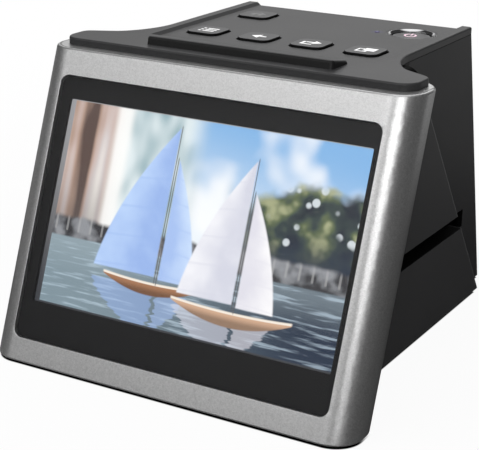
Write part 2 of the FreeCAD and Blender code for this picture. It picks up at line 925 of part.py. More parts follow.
def raised_strip():
    """Wedge on the cover that is highest at its front face and slopes down gently to the back."""
    strip_y = plan_y(cover_front + strip_front, shell_top)
    crest = cover_top + strip_height
    rear = strip_y + strip_length
    root = cover_top - overrun
    strip = side_prism(
        [
            (strip_y, root), (strip_y, cover_top), (strip_y + strip_front_slope, crest),
            (rear - strip_rear_slope, cover_top + strip_rear_height), (rear, cover_top), (rear, root),
        ],
        strip_side_shift - strip_half_width, strip_side_shift + strip_half_width,
    )
    strip = rounded(
        strip, strip_corner_radius,
        lambda edge: upright(edge) and edge.CenterOfMass.y < strip_y + strip_front_slope,
    )
    above = cover_top + strip_rear_height - seat_gap
    strip = rounded(
        strip, strip_end_round,
        lambda edge: edge.BoundBox.ZMin > above and edge.BoundBox.XLength < strip_end_round
        and edge.BoundBox.YLength > strip_length / 2,
    )
    return rounded(
        strip, strip_crest_round,
        lambda edge: edge.BoundBox.ZMin > above and edge.BoundBox.XLength > strip_half_width,
    )


def top_cover():
    """Flat cover with a lowered key area between side ridges and a raised wedge at the front."""
    first, steps = cover_outline_edges()
    wire = closed_wire(first, steps, in_plan(shell_top, plan_y(0, shell_top)))
    plate = Part.Face(wire).extrude(Vector(0, 0, cover_thickness))
    area_front = plan_y(key_area_start, shell_top)
    area_back = rear_foot_line
    low = key_area_half_width
    high = low + key_area_slope
    above = cover_top + overrun
    ramp = [
        (area_front, cover_top), (area_front + key_area_ramp, key_area_level),
        (area_back, key_area_level), (area_back, above), (area_front, above),
    ]
    trough = side_prism(ramp, -high, high)
    flank = key_area_slope / key_area_drop
    cross = [
        (-low, key_area_level), (low, key_area_level),
        (high + flank * overrun, above), (-high - flank * overrun, above),
    ]
    cross_start = area_front - overrun
    cross_wire = closed_wire(cross[0], cross[1:] + [cross[0]], lambda p: Vector(p[0], cross_start, p[1]))
    valley = Part.Face(cross_wire).extrude(Vector(0, overall_depth, 0))
    plate = plate.cut(trough.common(valley))
    plate = rounded(
        plate, cover_edge_round,
        lambda edge: (at_height(edge, cover_top) or at_height(edge, key_area_level))
        and (abs(edge.CenterOfMass.x) > high or edge.BoundBox.YMax < area_front - overrun
             or edge.BoundBox.YMin > rear_y(shell_top) - overrun),
    )
    strip = raised_strip()
    inset = wall + cover_plug_gap
    plug_front = plan_y(bezel_depth, shell_top) + cover_plug_gap
    plug_half = inner_half_width - cover_plug_gap
    plug = box(
        -plug_half, plug_half, plug_front + inset, rear_y(shell_top) - inset - wall,
        cover_under, shell_top + overrun,
    )
    bosses = [
        rod(Vector(x, y, cover_ledge_top), z_axis, boss_radius, shell_top - cover_ledge_top)
        for x, y in cover_screw_seats
    ]
    bosses += [
        rod(Vector(x, y, keypad_top), z_axis, boss_radius, shell_top - keypad_top)
        for x, y in keypad_screws
    ]
    holes = [
        pilot(Vector(x, y, cover_ledge_under), z_axis, small_screw_radius, small_screw_length)
        for x, y in cover_screw_seats
    ]
    holes += [
        pilot(Vector(x, y, keypad_under), z_axis, small_screw_radius, small_screw_length)
        for x, y in keypad_screws
    ]
    for name, (x, y) in key_places.items():
        if name == "power_key":
            radius = power_key_radius + key_gap + power_ring_width
            holes.append(rod(Vector(x, y, cover_under - overrun), z_axis, radius, cover_cut))
            continue
        side = key_size + 2 * key_gap
        wire = rounded_square(side, side, key_radius + key_gap, in_plan(cover_under - overrun))
        hole = Part.Face(wire).extrude(Vector(0, 0, cover_cut))
        hole.translate(Vector(x, y, 0))
        holes.append(hole)
    x, y = light_place
    holes.append(rod(Vector(x, y, cover_under - overrun), z_axis, light_pipe_radius, cover_cut))
    return without(joined([plate, strip, plug] + bosses), holes)


def body_profile(inset, low, high):
    """(y, z) outline of the rear body between two heights, drawn in at the rear by an inset."""
    back = inset / math.cos(rear_lean)
    return [
        (plan_y(flare_end, low), low), (rear_y(low) - back, low),
        (rear_y(high) - back, high), (plan_y(flare_end, high), high),
    ]


def lap_lip(side):
    """Lip inside a side wall that reaches forward behind the front housing's wall, and its root."""
    low = plate_top + lip_height_margin
    high = cover_ledge_under - lip_height_margin
    inner = side * (inner_half_width - seat_gap - lip_thickness)
    pieces = []
    for front, outer in ((-lip_reach, inner_half_width - seat_gap), (overrun, inner_half_width + seat_gap)):
        points = [
            (plan_y(flare_end + front, low), low), (plan_y(flare_end + lip_reach, low), low),
            (plan_y(flare_end + lip_reach, high), high), (plan_y(flare_end + front, high), high),
        ]
        pieces.append(side_prism(points, *sorted((inner, side * outer))))
    return pieces


def rear_shell():
    """Side walls and leaning rear wall, with the film slots and their wider rear mouths,
    the socket holes, ledges and posts."""
    outer = side_prism(body_profile(0.0, plate_top, shell_top), -body_half_width, body_half_width)
    outer = rounded(
        outer, cover_rear_corner_radius,
        lambda edge: upright(edge) and edge.CenterOfMass.y > 0,
    )
    inner_points = body_profile(wall, plate_top - overrun, shell_top + overrun)
    inner_points[0] = (inner_points[0][0] - overrun, inner_points[0][1])
    inner_points[3] = (inner_points[3][0] - overrun, inner_points[3][1])
    inner = side_prism(inner_points, -inner_half_width, inner_half_width)
    shell = outer.cut(inner)
    extras = [ledge.common(outer) for ledge in cover_ledges(cover_rear_y)]
    for side in (-1, 1):
        extras += lap_lip(side)
    mid_wall = body_half_width - wall / 2
    for x, y in board_screw_places:
        side = math.copysign(1, x)
        x0, x1 = sorted((side * (inner_half_width - board_ledge_reach), side * mid_wall))
        extras.append(box(
            x0, x1, y - board_ledge_length / 2, y + board_ledge_length / 2,
            main_board_under - board_ledge_thickness, main_board_under,
        ))
    for x, y in base_screw_places:
        side = math.copysign(1, x)
        extras.append(rod(Vector(x, y, plate_top), z_axis, post_radius, post_height))
        x0, x1 = sorted((x, side * mid_wall))
        extras.append(box(x0, x1, y - wall / 2, y + wall / 2, plate_top, plate_top + post_height))
    gate_zone = box(
        -inner_half_width, inner_half_width, gate_front - loose_gap, gate_rear + loose_gap,
        gate_under - loose_gap, gate_top + loose_gap,
    )
    shell = joined([shell] + extras)
    past = body_half_width + overrun
    holes = [gate_zone, box(-past, past, slot_start, slot_end, slot_floor, slot_ceiling)]
    for side in (-1, 1):
        x0, x1 = sorted((side * (inner_half_width - overrun), side * past))
        holes.append(box(
            x0, x1, slot_end - overrun, slot_end + slot_mouth_reach,
            mouth_floor, mouth_floor + slot_mouth_height,
        ))
    for place, width, height in (
        (usb_place, usb_width, usb_height),
        (hdmi_place, hdmi_width, hdmi_height),
        (card_place, card_socket_width, card_socket_height),
    ):
        half = width / 2 + socket_hole_gap
        holes.append(box(
            place - half, place + half, main_board_rear_y + main_board_wall_gap - overrun, rear_foot_line,
            main_board_top - socket_hole_gap, main_board_top + height + socket_hole_gap,
        ))
    holes += [
        through(Vector(x, y, cover_ledge_under), z_axis, small_screw_radius, ledge_thickness)
        for x, y in cover_screw_seats if y == cover_rear_y
    ]
    holes += [
        pilot(Vector(x, y, base_screw_seat), z_axis, base_screw_radius, base_screw_length)
        for x, y in base_screw_places
    ]
    holes += [
        pilot(Vector(x, y, main_board_top), -z_axis, small_screw_radius, small_screw_length)
        for x, y in board_screw_places
    ]
    for side in (-1, 1):
        for y, z in upper_cheek_screws() + lower_cheek_screws():
            holes.append(through(
                Vector(side * inner_half_width, y, z), x_axis * side, small_screw_radius, wall,
            ))
    return without(shell, holes)


def base_plate():
    """Floor of the case, with the gate's posts, foot pockets and screw holes."""
    start, steps = flare_outline(0.0)
    front = lean_prism(start, steps, base_level, plate_top)
    rear = side_prism(body_profile(0.0, base_level, plate_top), -body_half_width, body_half_width)
    rear = rounded(
        rear, cover_rear_corner_radius,
        lambda edge: upright(edge) and edge.CenterOfMass.y > 0,
    )
    post_reach = gate_under - base_level
    posts = [rod(Vector(x, y, base_level), z_axis, post_radius, post_reach) for x, y in gate_screw_places]
    plate = joined([front, rear] + posts)
    holes = [foot.copy() for foot in foot_pockets()]
    for x, y in base_screw_places + front_screw_places:
        holes.append(rod(Vector(x, y, base_level - overrun), z_axis, base_screw_head_radius + hole_gap,
                         base_screw_seat - base_level + overrun))
        holes.append(through(Vector(x, y, base_screw_seat), z_axis, base_screw_radius, base_thickness))
    reach = gate_screw_length + overrun
    holes += [pilot(Vector(x, y, gate_top), -z_axis, base_screw_radius, reach) for x, y in gate_screw_places]
    return without(plate, holes)


def foot_places():
    front_y = plan_y(front_foot_place, base_level)
    rear_line = rear_foot_line - rear_foot_from_rear
    front_foot_side = front_post_side - front_foot_from_post
    return [(side * front_foot_side, front_y) for side in (-1, 1)] + \
           [(side * rear_foot_side, rear_line) for side in (-1, 1)]


def foot_pockets():
    return [
        rod(Vector(x, y, base_level - overrun), z_axis, foot_radius + seat_gap, foot_sink + overrun)
        for x, y in foot_places()
    ]


def rubber_feet():
    feet = []
    for x, y in foot_places():
        foot = rod(Vector(x, y, 0), z_axis, foot_radius, foot_stand + foot_sink)
        feet.append(rounded(foot, foot_edge_round, lambda edge: at_height(edge, 0.0)))
    return feet


def cheek(side, low, high, screw_places):
    """Side cheek that stands proud of the body and ends at the back in a slanting edge."""
    points = [
        (plan_y(bezel_depth, low), low), (cheek_edge_y(low), low),
        (cheek_edge_y(high), high), (plan_y(bezel_depth, high), high),
    ]
    outer_x = body_half_width + cheek_proud
    block = side_prism(points, body_half_width, outer_x)
    if high > shell_top - overrun:
        block = rounded(
            block, cheek_top_round,
            lambda edge: at_height(edge, high) and abs(edge.CenterOfMass.x - outer_x) < seat_gap,
        )
    block = rounded(
        block, cheek_edge_round,
        lambda edge: abs(edge.BoundBox.XMin - outer_x) < seat_gap
        and edge.BoundBox.ZMax - edge.BoundBox.ZMin > (high - low) / 2
        and edge.CenterOfMass.y > plan_y(flare_end, edge.CenterOfMass.z),
    )
    start, steps = flare_outline(0.0)
    block = block.cut(lean_prism(start, steps, base_level - overrun, shell_top + overrun))
    seam = lambda z: plan_y(flare_end, z)
    pocket_low = low + cheek_rim
    room = cheek_edge_y(base_level) - seam(base_level)
    narrowing = (room - cheek_edge_y(shell_top) + seam(shell_top)) / shell_height
    pocket_high = min(high - cheek_rim, base_level + (room - 4 * cheek_rim) / narrowing)
    rear_rim = 2 * cheek_rim
    inner = [
        (seam(pocket_low) + cheek_rim, pocket_low), (cheek_edge_y(pocket_low) - rear_rim, pocket_low),
        (cheek_edge_y(pocket_high) - rear_rim, pocket_high), (seam(pocket_high) + cheek_rim, pocket_high),
    ]
    pocket = side_prism(inner, body_half_width - overrun, outer_x - cheek_wall)
    bosses = [
        rod(Vector(body_half_width, y, z), x_axis, cheek_boss_radius, cheek_proud - cheek_wall / 2)
        for y, z in screw_places
    ]
    shell = joined([block.cut(pocket)] + bosses)
    shell = without(shell, [
        pilot(Vector(inner_half_width, y, z), x_axis, small_screw_radius, small_screw_length + pilot_gap)
        for y, z in screw_places
    ])
    return shell if side > 0 else shell.mirror(Vector(0, 0, 0), x_axis)


# Keys and keypad

def key_body(x, y, top, wire_at, flange_wire_at):
    """Key cap with a dished top, a flange under the cover and a stem down to its switch."""
    cap = Part.Face(wire_at(flange_under)).extrude(Vector(0, 0, top - flange_under))
    cap = rounded(cap, key_edge_round, lambda edge: at_height(edge, top))
    reach = key_size / 2
    dish_radius = (reach * reach + key_dish * key_dish) / (2 * key_dish)
    dish = Part.makeSphere(dish_radius, Vector(0, 0, top + dish_radius - key_dish))
    flange = Part.Face(flange_wire_at(flange_under)).extrude(Vector(0, 0, key_flange_thickness))
    stem = rod(Vector(0, 0, stem_end), z_axis, key_stem_radius, key_stem_length + overrun)
    body = joined([cap.cut(dish), flange, stem])
    body.translate(Vector(x, y, 0))
    return body


def circle_wire(radius):
    return lambda height: Part.Wire(Part.makeCircle(radius, Vector(0, 0, height)))


def square_wire(side, radius):
    return lambda height: rounded_square(side, side, radius, in_plan(height))


def key(name):
    x, y = key_places[name]
    if name == "power_key":
        top = key_area_level - power_key_sink
        flange = power_key_radius + key_gap + power_ring_width
        return key_body(x, y, top, circle_wire(power_key_radius), circle_wire(flange))
    top = key_area_level + key_proud
    flange = key_size + 2 * key_flange_margin
    return key_body(x, y, top, square_wire(key_size, key_radius), square_wire(flange, key_radius))


def plunger(name):
    x, y = key_places[name]
    length = plunger_proud + plunger_depth
    return rod(Vector(x, y, stem_end - length), z_axis, plunger_radius, length)


def tact_switches():
    switches = []
    half = switch_side / 2
    bore = plunger_radius + plunger_bore_gap
    for x, y in key_places.values():
        body = block_at(x, y, half, half, keypad_top, keypad_top + switch_height)
        bore_depth = plunger_depth + key_travel + loose_gap
        floor = Vector(x, y, keypad_top + switch_height - bore_depth)
        switches.append(body.cut(rod(floor, z_axis, bore, bore_depth + overrun)))
    return switches


def power_key_ring():
    x, y = key_places["power_key"]
    outer = power_key_radius + key_gap + power_ring_width - seat_gap / 2
    low = cover_under
    inner = power_key_radius + key_gap
    ring = rod(Vector(x, y, low), z_axis, outer, key_area_level - low)
    ring = ring.cut(rod(Vector(x, y, low - overrun), z_axis, inner, cover_cut))
    funnel_low = key_area_level - power_key_sink
    funnel = Part.makeCone(
        inner, inner + power_ring_funnel, power_key_sink, Vector(x, y, funnel_low), z_axis,
    )
    return ring.cut(funnel)


def status_light_pipe():
    x, y = light_place
    low = keypad_top + status_led_height + seat_gap
    length = key_area_level + light_pipe_proud - low
    pipe = rod(Vector(x, y, low), z_axis, light_pipe_radius - pilot_gap, length)
    seat = Vector(x, y, cover_under - key_flange_thickness)
    foot = rod(seat, z_axis, light_pipe_radius + light_pipe_flange, key_flange_thickness)
    return joined([pipe, foot])


def status_led():
    x, y = light_place
    half = status_led_side / 2
    return block_at(x, y, half, half, keypad_top, keypad_top + status_led_height)


def keypad_board():
    half = keypad_half_width
    board = box(-half, half, keypad_front, keypad_rear, keypad_under, keypad_top)
    return without(board, [
        through(Vector(x, y, keypad_under), z_axis, small_screw_radius, board_thickness)
        for x, y in keypad_screws
    ])


# Film path

def film_gate(low):
    """Gate plate with the scanning aperture and its screw holes."""
    half = inner_half_width - gate_side_gap
    plate = box(-half, half, gate_front, gate_rear, low, low + gate_thickness)
    aperture = block_at(
        0, scan_y, aperture_width / 2, aperture_length / 2, low - overrun, low + gate_thickness + overrun,
    )
    holes = [
        through(Vector(x, y, low), z_axis, base_screw_radius, gate_thickness)
        for x, y in gate_screw_places
    ]
    if low == slot_ceiling:
        seat = gate_top + camera_flange_thickness
        reach = camera_flange_thickness + gate_thickness
        holes += [
            pilot(Vector(x, y, seat), -z_axis, small_screw_radius, reach)
            for x, y in camera_screw_places
        ]
    return without(plate, [aperture] + holes)


def film_rails():
    """Front and rear rail that set the slot's height and guide the film holder's edges."""
    half = inner_half_width - gate_side_gap
    rails = []
    for y0, y1 in ((gate_front, slot_start), (slot_end, gate_rear)):
        rail = box(-half, half, y0, y1, slot_floor, slot_ceiling)
        holes = [
            through(Vector(x, y, slot_floor), z_axis, base_screw_radius, slot_height)
            for x, y in gate_screw_places if y0 < y < y1
        ]
        if y0 == slot_end:
            mid = (slot_floor + slot_ceiling) / 2
            half_length = spring_length / 2 + seat_gap
            half_height = spring_height / 2 + seat_gap
            for side in (-1, 1):
                x = side * spring_side
                holes.append(box(
                    x - half_length, x + half_length, slot_end - overrun, slot_end + spring_pocket_depth,
                    mid - half_height, mid + half_height,
                ))
        rails.append(without(rail, holes))
    return rails


def detent_springs():
    """Two bowed leaf springs in the rear rail, which click into a film holder's notches."""
    mid = (slot_floor + slot_ceiling) / 2
    seat = slot_end + spring_pocket_depth
    rise = spring_pocket_depth + spring_bulge
    half = spring_length / 2
    springs = []
    for side in (-1, 1):
        x = side * spring_side
        steps = [
            ((x, seat - rise), (x + half, seat)),
            (x + half - spring_thickness, seat),
            ((x, seat - rise + spring_thickness), (x - half + spring_thickness, seat)),
            (x - half, seat),
        ]
        wire = closed_wire((x - half, seat), steps, in_plan(mid - spring_height / 2))
        springs.append(Part.Face(wire).extrude(Vector(0, 0, spring_height)))
    return springs


def light_box():
    """White box under the lower gate that mixes the light, open towards the film."""
    half_x = light_box_half_width
    half_y = light_box_half_length
    outer = block_at(0, scan_y, half_x, half_y, plate_top, gate_under)
    in_x = half_x - light_box_wall
    in_y = half_y - light_box_wall
    board_seat = plate_top + light_board_lift
    hollow = block_at(0, scan_y, in_x, in_y, board_seat, gate_under + overrun)
    ledge = diffuser_ledge
    diffuser_low = gate_under - diffuser_thickness
    rim = block_at(0, scan_y, in_x + seat_gap, in_y + seat_gap, diffuser_low - ledge, diffuser_low)
    rim_hole = block_at(0, scan_y, in_x - ledge, in_y - ledge, diffuser_low - ledge - overrun, gate_under)
    cable_low = light_cable_level - ribbon_thickness / 2 - seat_gap
    cable_slot = box(
        light_ribbon_x - ribbon_width / 2 - seat_gap, light_ribbon_x + ribbon_width / 2 + seat_gap,
        scan_y, scan_y + half_y + overrun, cable_low, cable_low + ribbon_thickness + 2 * seat_gap,
    )
    return joined([outer.cut(hollow), rim.cut(rim_hole)]).cut(cable_slot)


def light_diffuser():
    in_x = light_box_half_width - light_box_wall - seat_gap
    in_y = light_box_half_length - light_box_wall - seat_gap
    return block_at(0, scan_y, in_x, in_y, gate_under - diffuser_thickness, gate_under)


def light_board():
    in_x = light_box_half_width - light_box_wall - seat_gap
    in_y = light_box_half_length - light_box_wall - seat_gap
    low = plate_top + light_board_lift
    return block_at(0, scan_y, in_x, in_y, low, low + board_thickness)


def light_leds():
    low = plate_top + light_board_lift + board_thickness
    half = led_side / 2
    leds = []
    for column in range(led_columns):
        for row in range(led_rows):
            x = (column - (led_columns - 1) / 2) * led_pitch
            y = scan_y + (row - (led_rows - 1) / 2) * led_pitch
            leds.append(block_at(x, y, half, half, low, low + led_height))
    return leds


# Camera

def camera_housing():
    """Dark box over the upper gate, with a narrower neck that holds the lens."""
    base = gate_top
    step = camera_top - camera_step_from_top
    wide = block_at(0, scan_y, camera_half_width, camera_half_length, base, step)
    inner_x = camera_half_width - camera_wall
    inner_y = camera_half_length - camera_wall
    wide_hollow = block_at(0, scan_y, inner_x, inner_y, base - overrun, step - camera_wall)
    neck_half = camera_neck_half_width
    neck = block_at(0, scan_y, neck_half, neck_half, step - camera_wall, camera_top)
    neck_in = neck_half - camera_wall
    web_low = camera_top - lens_web_from_top
    web_top = web_low + lens_web_thickness
    lower_hollow = block_at(0, scan_y, neck_in, neck_in, step - 2 * camera_wall, web_low)
    upper_hollow = block_at(0, scan_y, neck_in, neck_in, web_top, camera_top + overrun)
    flange_x = camera_half_width + camera_flange_margin + 2 * wall
    flange = block_at(0, scan_y, flange_x, camera_half_length, base, base + camera_flange_thickness)
    flange = flange.cut(wide_hollow)
    bore = rod(Vector(0, scan_y, base), z_axis, barrel_radius + seat_gap / 2, camera_top - base)
    holes = [
        through(Vector(x, y, base), z_axis, small_screw_radius, camera_flange_thickness)
        for x, y in camera_screw_places
    ]
    return without(joined([wide, neck, flange]), [wide_hollow, lower_hollow, upper_hollow, bore] + holes)


def lens_middle():
    return camera_top - lens_web_from_top + lens_web_thickness / 2


def lens_barrel():
    low = lens_middle() - barrel_length / 2
    barrel = rod(Vector(0, scan_y, low), z_axis, barrel_radius, barrel_length)
    bore = rod(Vector(0, scan_y, low + barrel_lip), z_axis, barrel_bore_radius, barrel_length)
    stop = rod(Vector(0, scan_y, low - overrun), z_axis, barrel_bore_radius - barrel_lip, barrel_length)
    return without(barrel, [bore, stop])


def lens_elements():
    """Two plano-convex lenses in the barrel, one at its lower lip and one above it."""
    radius = barrel_bore_radius - pilot_gap
    low = lens_middle() - barrel_length / 2 + barrel_lip
    lenses = []
    for level in (low, low + barrel_length / 2):
        disc = rod(Vector(0, scan_y, level), z_axis, radius, lens_thickness)
        centre = Vector(0, scan_y, level + lens_thickness - lens_curve_radius)
        ball = Part.makeSphere(lens_curve_radius, centre)
        lenses.append(disc.common(ball))
    return lenses


def sensor_board():
    half = sensor_board_half_width
    return block_at(0, scan_y, half, half, camera_top, sensor_board_top)


def image_sensor():
    low = camera_top - sensor_height
    return block_at(0, scan_y, sensor_width / 2, sensor_length / 2, low, camera_top)


# Main board

def main_board():
    board = box(-main_board_half_width, main_board_half_width, main_board_front_y, main_board_rear_y,
                main_board_under, main_board_top)
    return without(board, [
        through(Vector(x, y, main_board_top), -z_axis, small_screw_radius, board_thickness)
        for x, y in board_screw_places
    ])


def socket_mouth(height):
    """Y of a socket's mouth, a little behind the outside of the rear wall."""
    return rear_y(main_board_top + height) - socket_reach


def socket(place, width, height, length, radius):
    """Folded metal socket, open to the back, with its tongue."""
    back = socket_mouth(height)
    front = back - length
    middle = main_board_top + height / 2
    place_wire = lambda point: Vector(point[0] + place, front, point[1] + middle)
    shell = Part.Face(rounded_square(width, height, radius, place_wire)).extrude(Vector(0, length, 0))
    inner_width = width - 2 * socket_shell
    inner_height = height - 2 * socket_shell
    inner_wire = rounded_square(inner_width, inner_height, radius - socket_shell / 2, place_wire)
    mouth = Part.Face(inner_wire).extrude(Vector(0, length, 0))
    mouth.translate(Vector(0, 2 * socket_shell, 0))
    tongue_half = width / 2 - 3 * socket_shell
    tongue = box(place - tongue_half, place + tongue_half, front + socket_shell, back - 2 * socket_shell,
                 middle - socket_shell, middle + socket_shell)
    return joined([shell.cut(mouth), tongue])


def usb_socket():
    return socket(usb_place, usb_width, usb_height, usb_length, usb_height / 2 - socket_shell)


def hdmi_socket():
    return socket(hdmi_place, hdmi_width, hdmi_height, hdmi_length, socket_shell * 2)


def card_socket():
    half = card_socket_width / 2
    back = socket_mouth(card_socket_height)
    body = box(card_place - half, card_place + half, back - card_socket_length, back,
               main_board_top, main_board_top + card_socket_height)
    slot_half = card_slot_width / 2
    low = main_board_top + (card_socket_height - card_slot_height) / 2
    slot = box(card_place - slot_half, card_place + slot_half, back - card_slot_depth, back + overrun,
               low, low + card_slot_height)
    return body.cut(slot)


def board_components():
    """Processor, memory and two capacitors on the main board."""
    top = main_board_top
    chip = processor_side / 2
    y = main_board_front_y + chip_from_front
    chips = [
        block_at(0, y, chip, chip, top, top + chip_height),
        block_at(-processor_side - chip, y, memory_width / 2, memory_length / 2, top, top + chip_height),
    ]
    for step in (0, 1):
        x = board_ledge_x - board_ledge_reach - 3 * step * capacitor_radius
        chips.append(rod(Vector(x, board_middle_y, top), z_axis, capacitor_radius, capacitor_height))
    return chips


def board_connectors():
    """Ribbon sockets under the main board, and the stacking plugs to the sensor and keypad boards."""
    half = ribbon_socket_width / 2
    half_length = ribbon_socket_length / 2
    under = main_board_under - ribbon_socket_height
    header_x = -keypad_half_width / 2
    header_y = (key_row_y + key_rear_y) / 2
    display_y = main_board_front_y + half_length
    return [
        block_at(display_ribbon_x, display_y, half, half_length, under, main_board_under),
        block_at(light_ribbon_x, light_ribbon_y, half, half_length, under, main_board_under),
        block_at(0, scan_y, half, half_length, sensor_board_top, main_board_under),
        block_at(header_x, header_y, half, half_length, main_board_top, keypad_under),
    ]


def ribbon_side(route, offset):
    """Points of a ribbon's one side, with an arc's middle and end at each turn."""
    steps = []
    into = (route[1] - route[0]).normalize()
    start = route[0] + into.cross(x_axis) * offset
    for before, corner, after in zip(route, route[1:], route[2:]):
        into = (corner - before).normalize()
        out = (after - corner).normalize()
        half_turn = into.getAngle(out) / 2
        cut = ribbon_bend_radius * math.tan(half_turn)
        inward = (out - into).normalize()
        centre = corner + inward * (ribbon_bend_radius / math.cos(half_turn))
        reach = ribbon_bend_radius - offset * math.copysign(1, into.cross(x_axis).dot(inward))
        leave = (corner - into * cut - centre).normalize()
        join = (corner + out * cut - centre).normalize()
        points = [centre + leave * reach, centre - inward * reach, centre + join * reach]
        steps.append((points[0].y, points[0].z))
        steps.append(((points[1].y, points[1].z), (points[2].y, points[2].z)))
    into = (route[-1] - route[-2]).normalize()
    end = route[-1] + into.cross(x_axis) * offset
    steps.append((end.y, end.z))
    return (start.y, start.z), steps


def ribbon(points, x):
    """Flat ribbon along a (y, z) route, with rounded turns."""
    route = [Vector(0, y, z) for y, z in points]
    start, out_steps = ribbon_side(route, ribbon_thickness / 2)
    back_start, back_steps = ribbon_side(route[::-1], ribbon_thickness / 2)
    steps = out_steps + [back_start] + back_steps + [start]
    wire = closed_wire(start, steps, in_side(x - ribbon_width / 2))
    return Part.Face(wire).extrude(Vector(ribbon_width, 0, 0))


def ribbon_cables():
    """Flat cables from the main board to the display and to the light board."""
    socket_under = main_board_under - ribbon_socket_height
    display_start = face_point(0, mask_middle + cable_hole_height / 2, bracket_back)
    turn_depth = partition_back + 2 * ribbon_bend_radius
    display_turn = face_point(0, mask_middle + cable_hole_height / 2, turn_depth)
    display_y = main_board_front_y + ribbon_socket_length / 2
    display_rise = socket_under - 4 * ribbon_bend_radius
    display_route = [
        (display_start.y, display_start.z), (display_turn.y, display_turn.z),
        (display_y, display_rise), (display_y, socket_under),
    ]
    light_edge = scan_y + light_box_half_length - light_box_wall - 2 * ribbon_bend_radius
    light_route = [
        (light_edge, light_cable_level), (light_ribbon_y, light_cable_level),
        (light_ribbon_y, socket_under),
    ]
    return [ribbon(display_route, display_ribbon_x), ribbon(light_route, light_ribbon_x)]


# Build

def main():
    os.makedirs("parts", exist_ok=True)
    save("front_bezel", front_bezel())
    save("display_window", display_window())
    save("display_mask", display_mask())
    save("display_gasket", display_gasket())
    save("lcd_panel", lcd_panel())
    save("backlight_tray", backlight_tray())
    save("display_bracket", display_bracket())
    save("front_housing", front_housing())
    save("top_cover", top_cover())
    save("rear_shell", rear_shell())
    save("base_plate", base_plate())
    save("rubber_feet", *rubber_feet())
    for name, side in (("left", -1), ("right", 1)):
        save(name + "_cheek_upper", cheek(side, slot_ceiling, shell_top, upper_cheek_screws()))
        save(name + "_cheek_lower", cheek(side, base_level, slot_floor, lower_cheek_screws()))
    for name in key_places:
        save(name, key(name))
        save(name.replace("key", "plunger"), plunger(name))
    save("power_key_ring", power_key_ring())
    save("status_light_pipe", status_light_pipe())
    save("status_led", status_led())
    save("keypad_board", keypad_board())
    save("tact_switches", *tact_switches())
    save("film_gate_lower", film_gate(gate_under))
    save("film_gate_upper", film_gate(slot_ceiling))
    save("film_rails", *film_rails())
    save("detent_springs", *detent_springs())
    save("light_box", light_box())
    save("light_diffuser", light_diffuser())
    save("light_board", light_board())
    save("light_leds", *light_leds())
    save("camera_housing", camera_housing())
    save("lens_barrel", lens_barrel())
    save("lens_elements", *lens_elements())
    save("sensor_board", sensor_board())
    save("image_sensor", image_sensor())
    save("main_board", main_board())
    save("board_components", *board_components())
    save("board_connectors", *board_connectors())
    save("usb_socket", usb_socket())
    save("hdmi_socket", hdmi_socket())
    save("card_socket", card_socket())
    save("ribbon_cables", *ribbon_cables())

    save("display_screws", *[
        driven(small_screw, face_point(x, up, depth), -face_in)
        for bosses, depth in ((housing_bosses, partition_back), (bracket_bosses, bracket_back))
        for x, up in bosses
    ])
    save("cover_screws", *[
        driven(small_screw, Vector(x, y, cover_ledge_under), z_axis) for x, y in cover_screw_seats
    ])
    save("board_screws", *[
        driven(small_screw, Vector(x, y, keypad_under), z_axis) for x, y in keypad_screws
    ] + [
        driven(small_screw, Vector(x, y, main_board_top), -z_axis) for x, y in board_screw_places
    ])
    save("camera_screws", *[
        driven(small_screw, Vector(x, y, gate_top + camera_flange_thickness), -z_axis)
        for x, y in camera_screw_places
    ])
    save("base_screws", *[
        driven(base_screw, Vector(x, y, base_screw_seat), z_axis)
        for x, y in base_screw_places + front_screw_places
    ])
    save("gate_screws", *[
        driven(gate_screw, Vector(x, y, gate_top), -z_axis) for x, y in gate_screw_places
    ])
    save("cheek_screws", *[
        driven(small_screw, Vector(side * inner_half_width, y, z), x_axis * side)
        for side in (-1, 1) for y, z in upper_cheek_screws() + lower_cheek_screws()
    ])


main()
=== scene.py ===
import json
import math

import bmesh
import bpy
from mathutils import Matrix, Vector

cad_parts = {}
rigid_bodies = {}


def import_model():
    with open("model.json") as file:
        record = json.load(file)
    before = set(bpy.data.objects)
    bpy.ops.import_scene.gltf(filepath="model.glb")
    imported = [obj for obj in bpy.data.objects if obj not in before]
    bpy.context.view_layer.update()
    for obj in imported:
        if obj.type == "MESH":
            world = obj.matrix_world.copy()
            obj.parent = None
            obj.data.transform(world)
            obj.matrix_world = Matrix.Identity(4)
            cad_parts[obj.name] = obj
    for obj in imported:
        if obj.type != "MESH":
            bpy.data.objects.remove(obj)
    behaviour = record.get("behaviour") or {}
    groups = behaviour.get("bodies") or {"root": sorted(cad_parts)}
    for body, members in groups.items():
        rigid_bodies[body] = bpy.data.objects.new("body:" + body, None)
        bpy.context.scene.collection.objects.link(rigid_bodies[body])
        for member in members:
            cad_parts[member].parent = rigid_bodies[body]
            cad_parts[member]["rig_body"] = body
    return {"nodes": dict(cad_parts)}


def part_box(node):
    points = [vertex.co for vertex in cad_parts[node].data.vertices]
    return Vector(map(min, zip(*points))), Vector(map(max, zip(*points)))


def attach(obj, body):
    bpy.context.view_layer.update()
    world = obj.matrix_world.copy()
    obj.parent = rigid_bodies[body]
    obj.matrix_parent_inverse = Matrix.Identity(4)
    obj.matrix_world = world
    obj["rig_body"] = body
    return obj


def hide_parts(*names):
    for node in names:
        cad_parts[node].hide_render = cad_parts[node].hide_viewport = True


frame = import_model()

# Looks of a desktop film scanner: painted bezel, display, black case, keys, and its inner pieces.
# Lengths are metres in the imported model's own frame: X right, Y back, Z up.
# A pair such as strip_lift says where a soft edge starts and where it ends.

mm = 0.001
degree = math.pi / 180
bodies = {node: piece["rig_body"] for node, piece in frame["nodes"].items()}
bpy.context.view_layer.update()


# Places that several materials share, from the frame where a node's box shows them

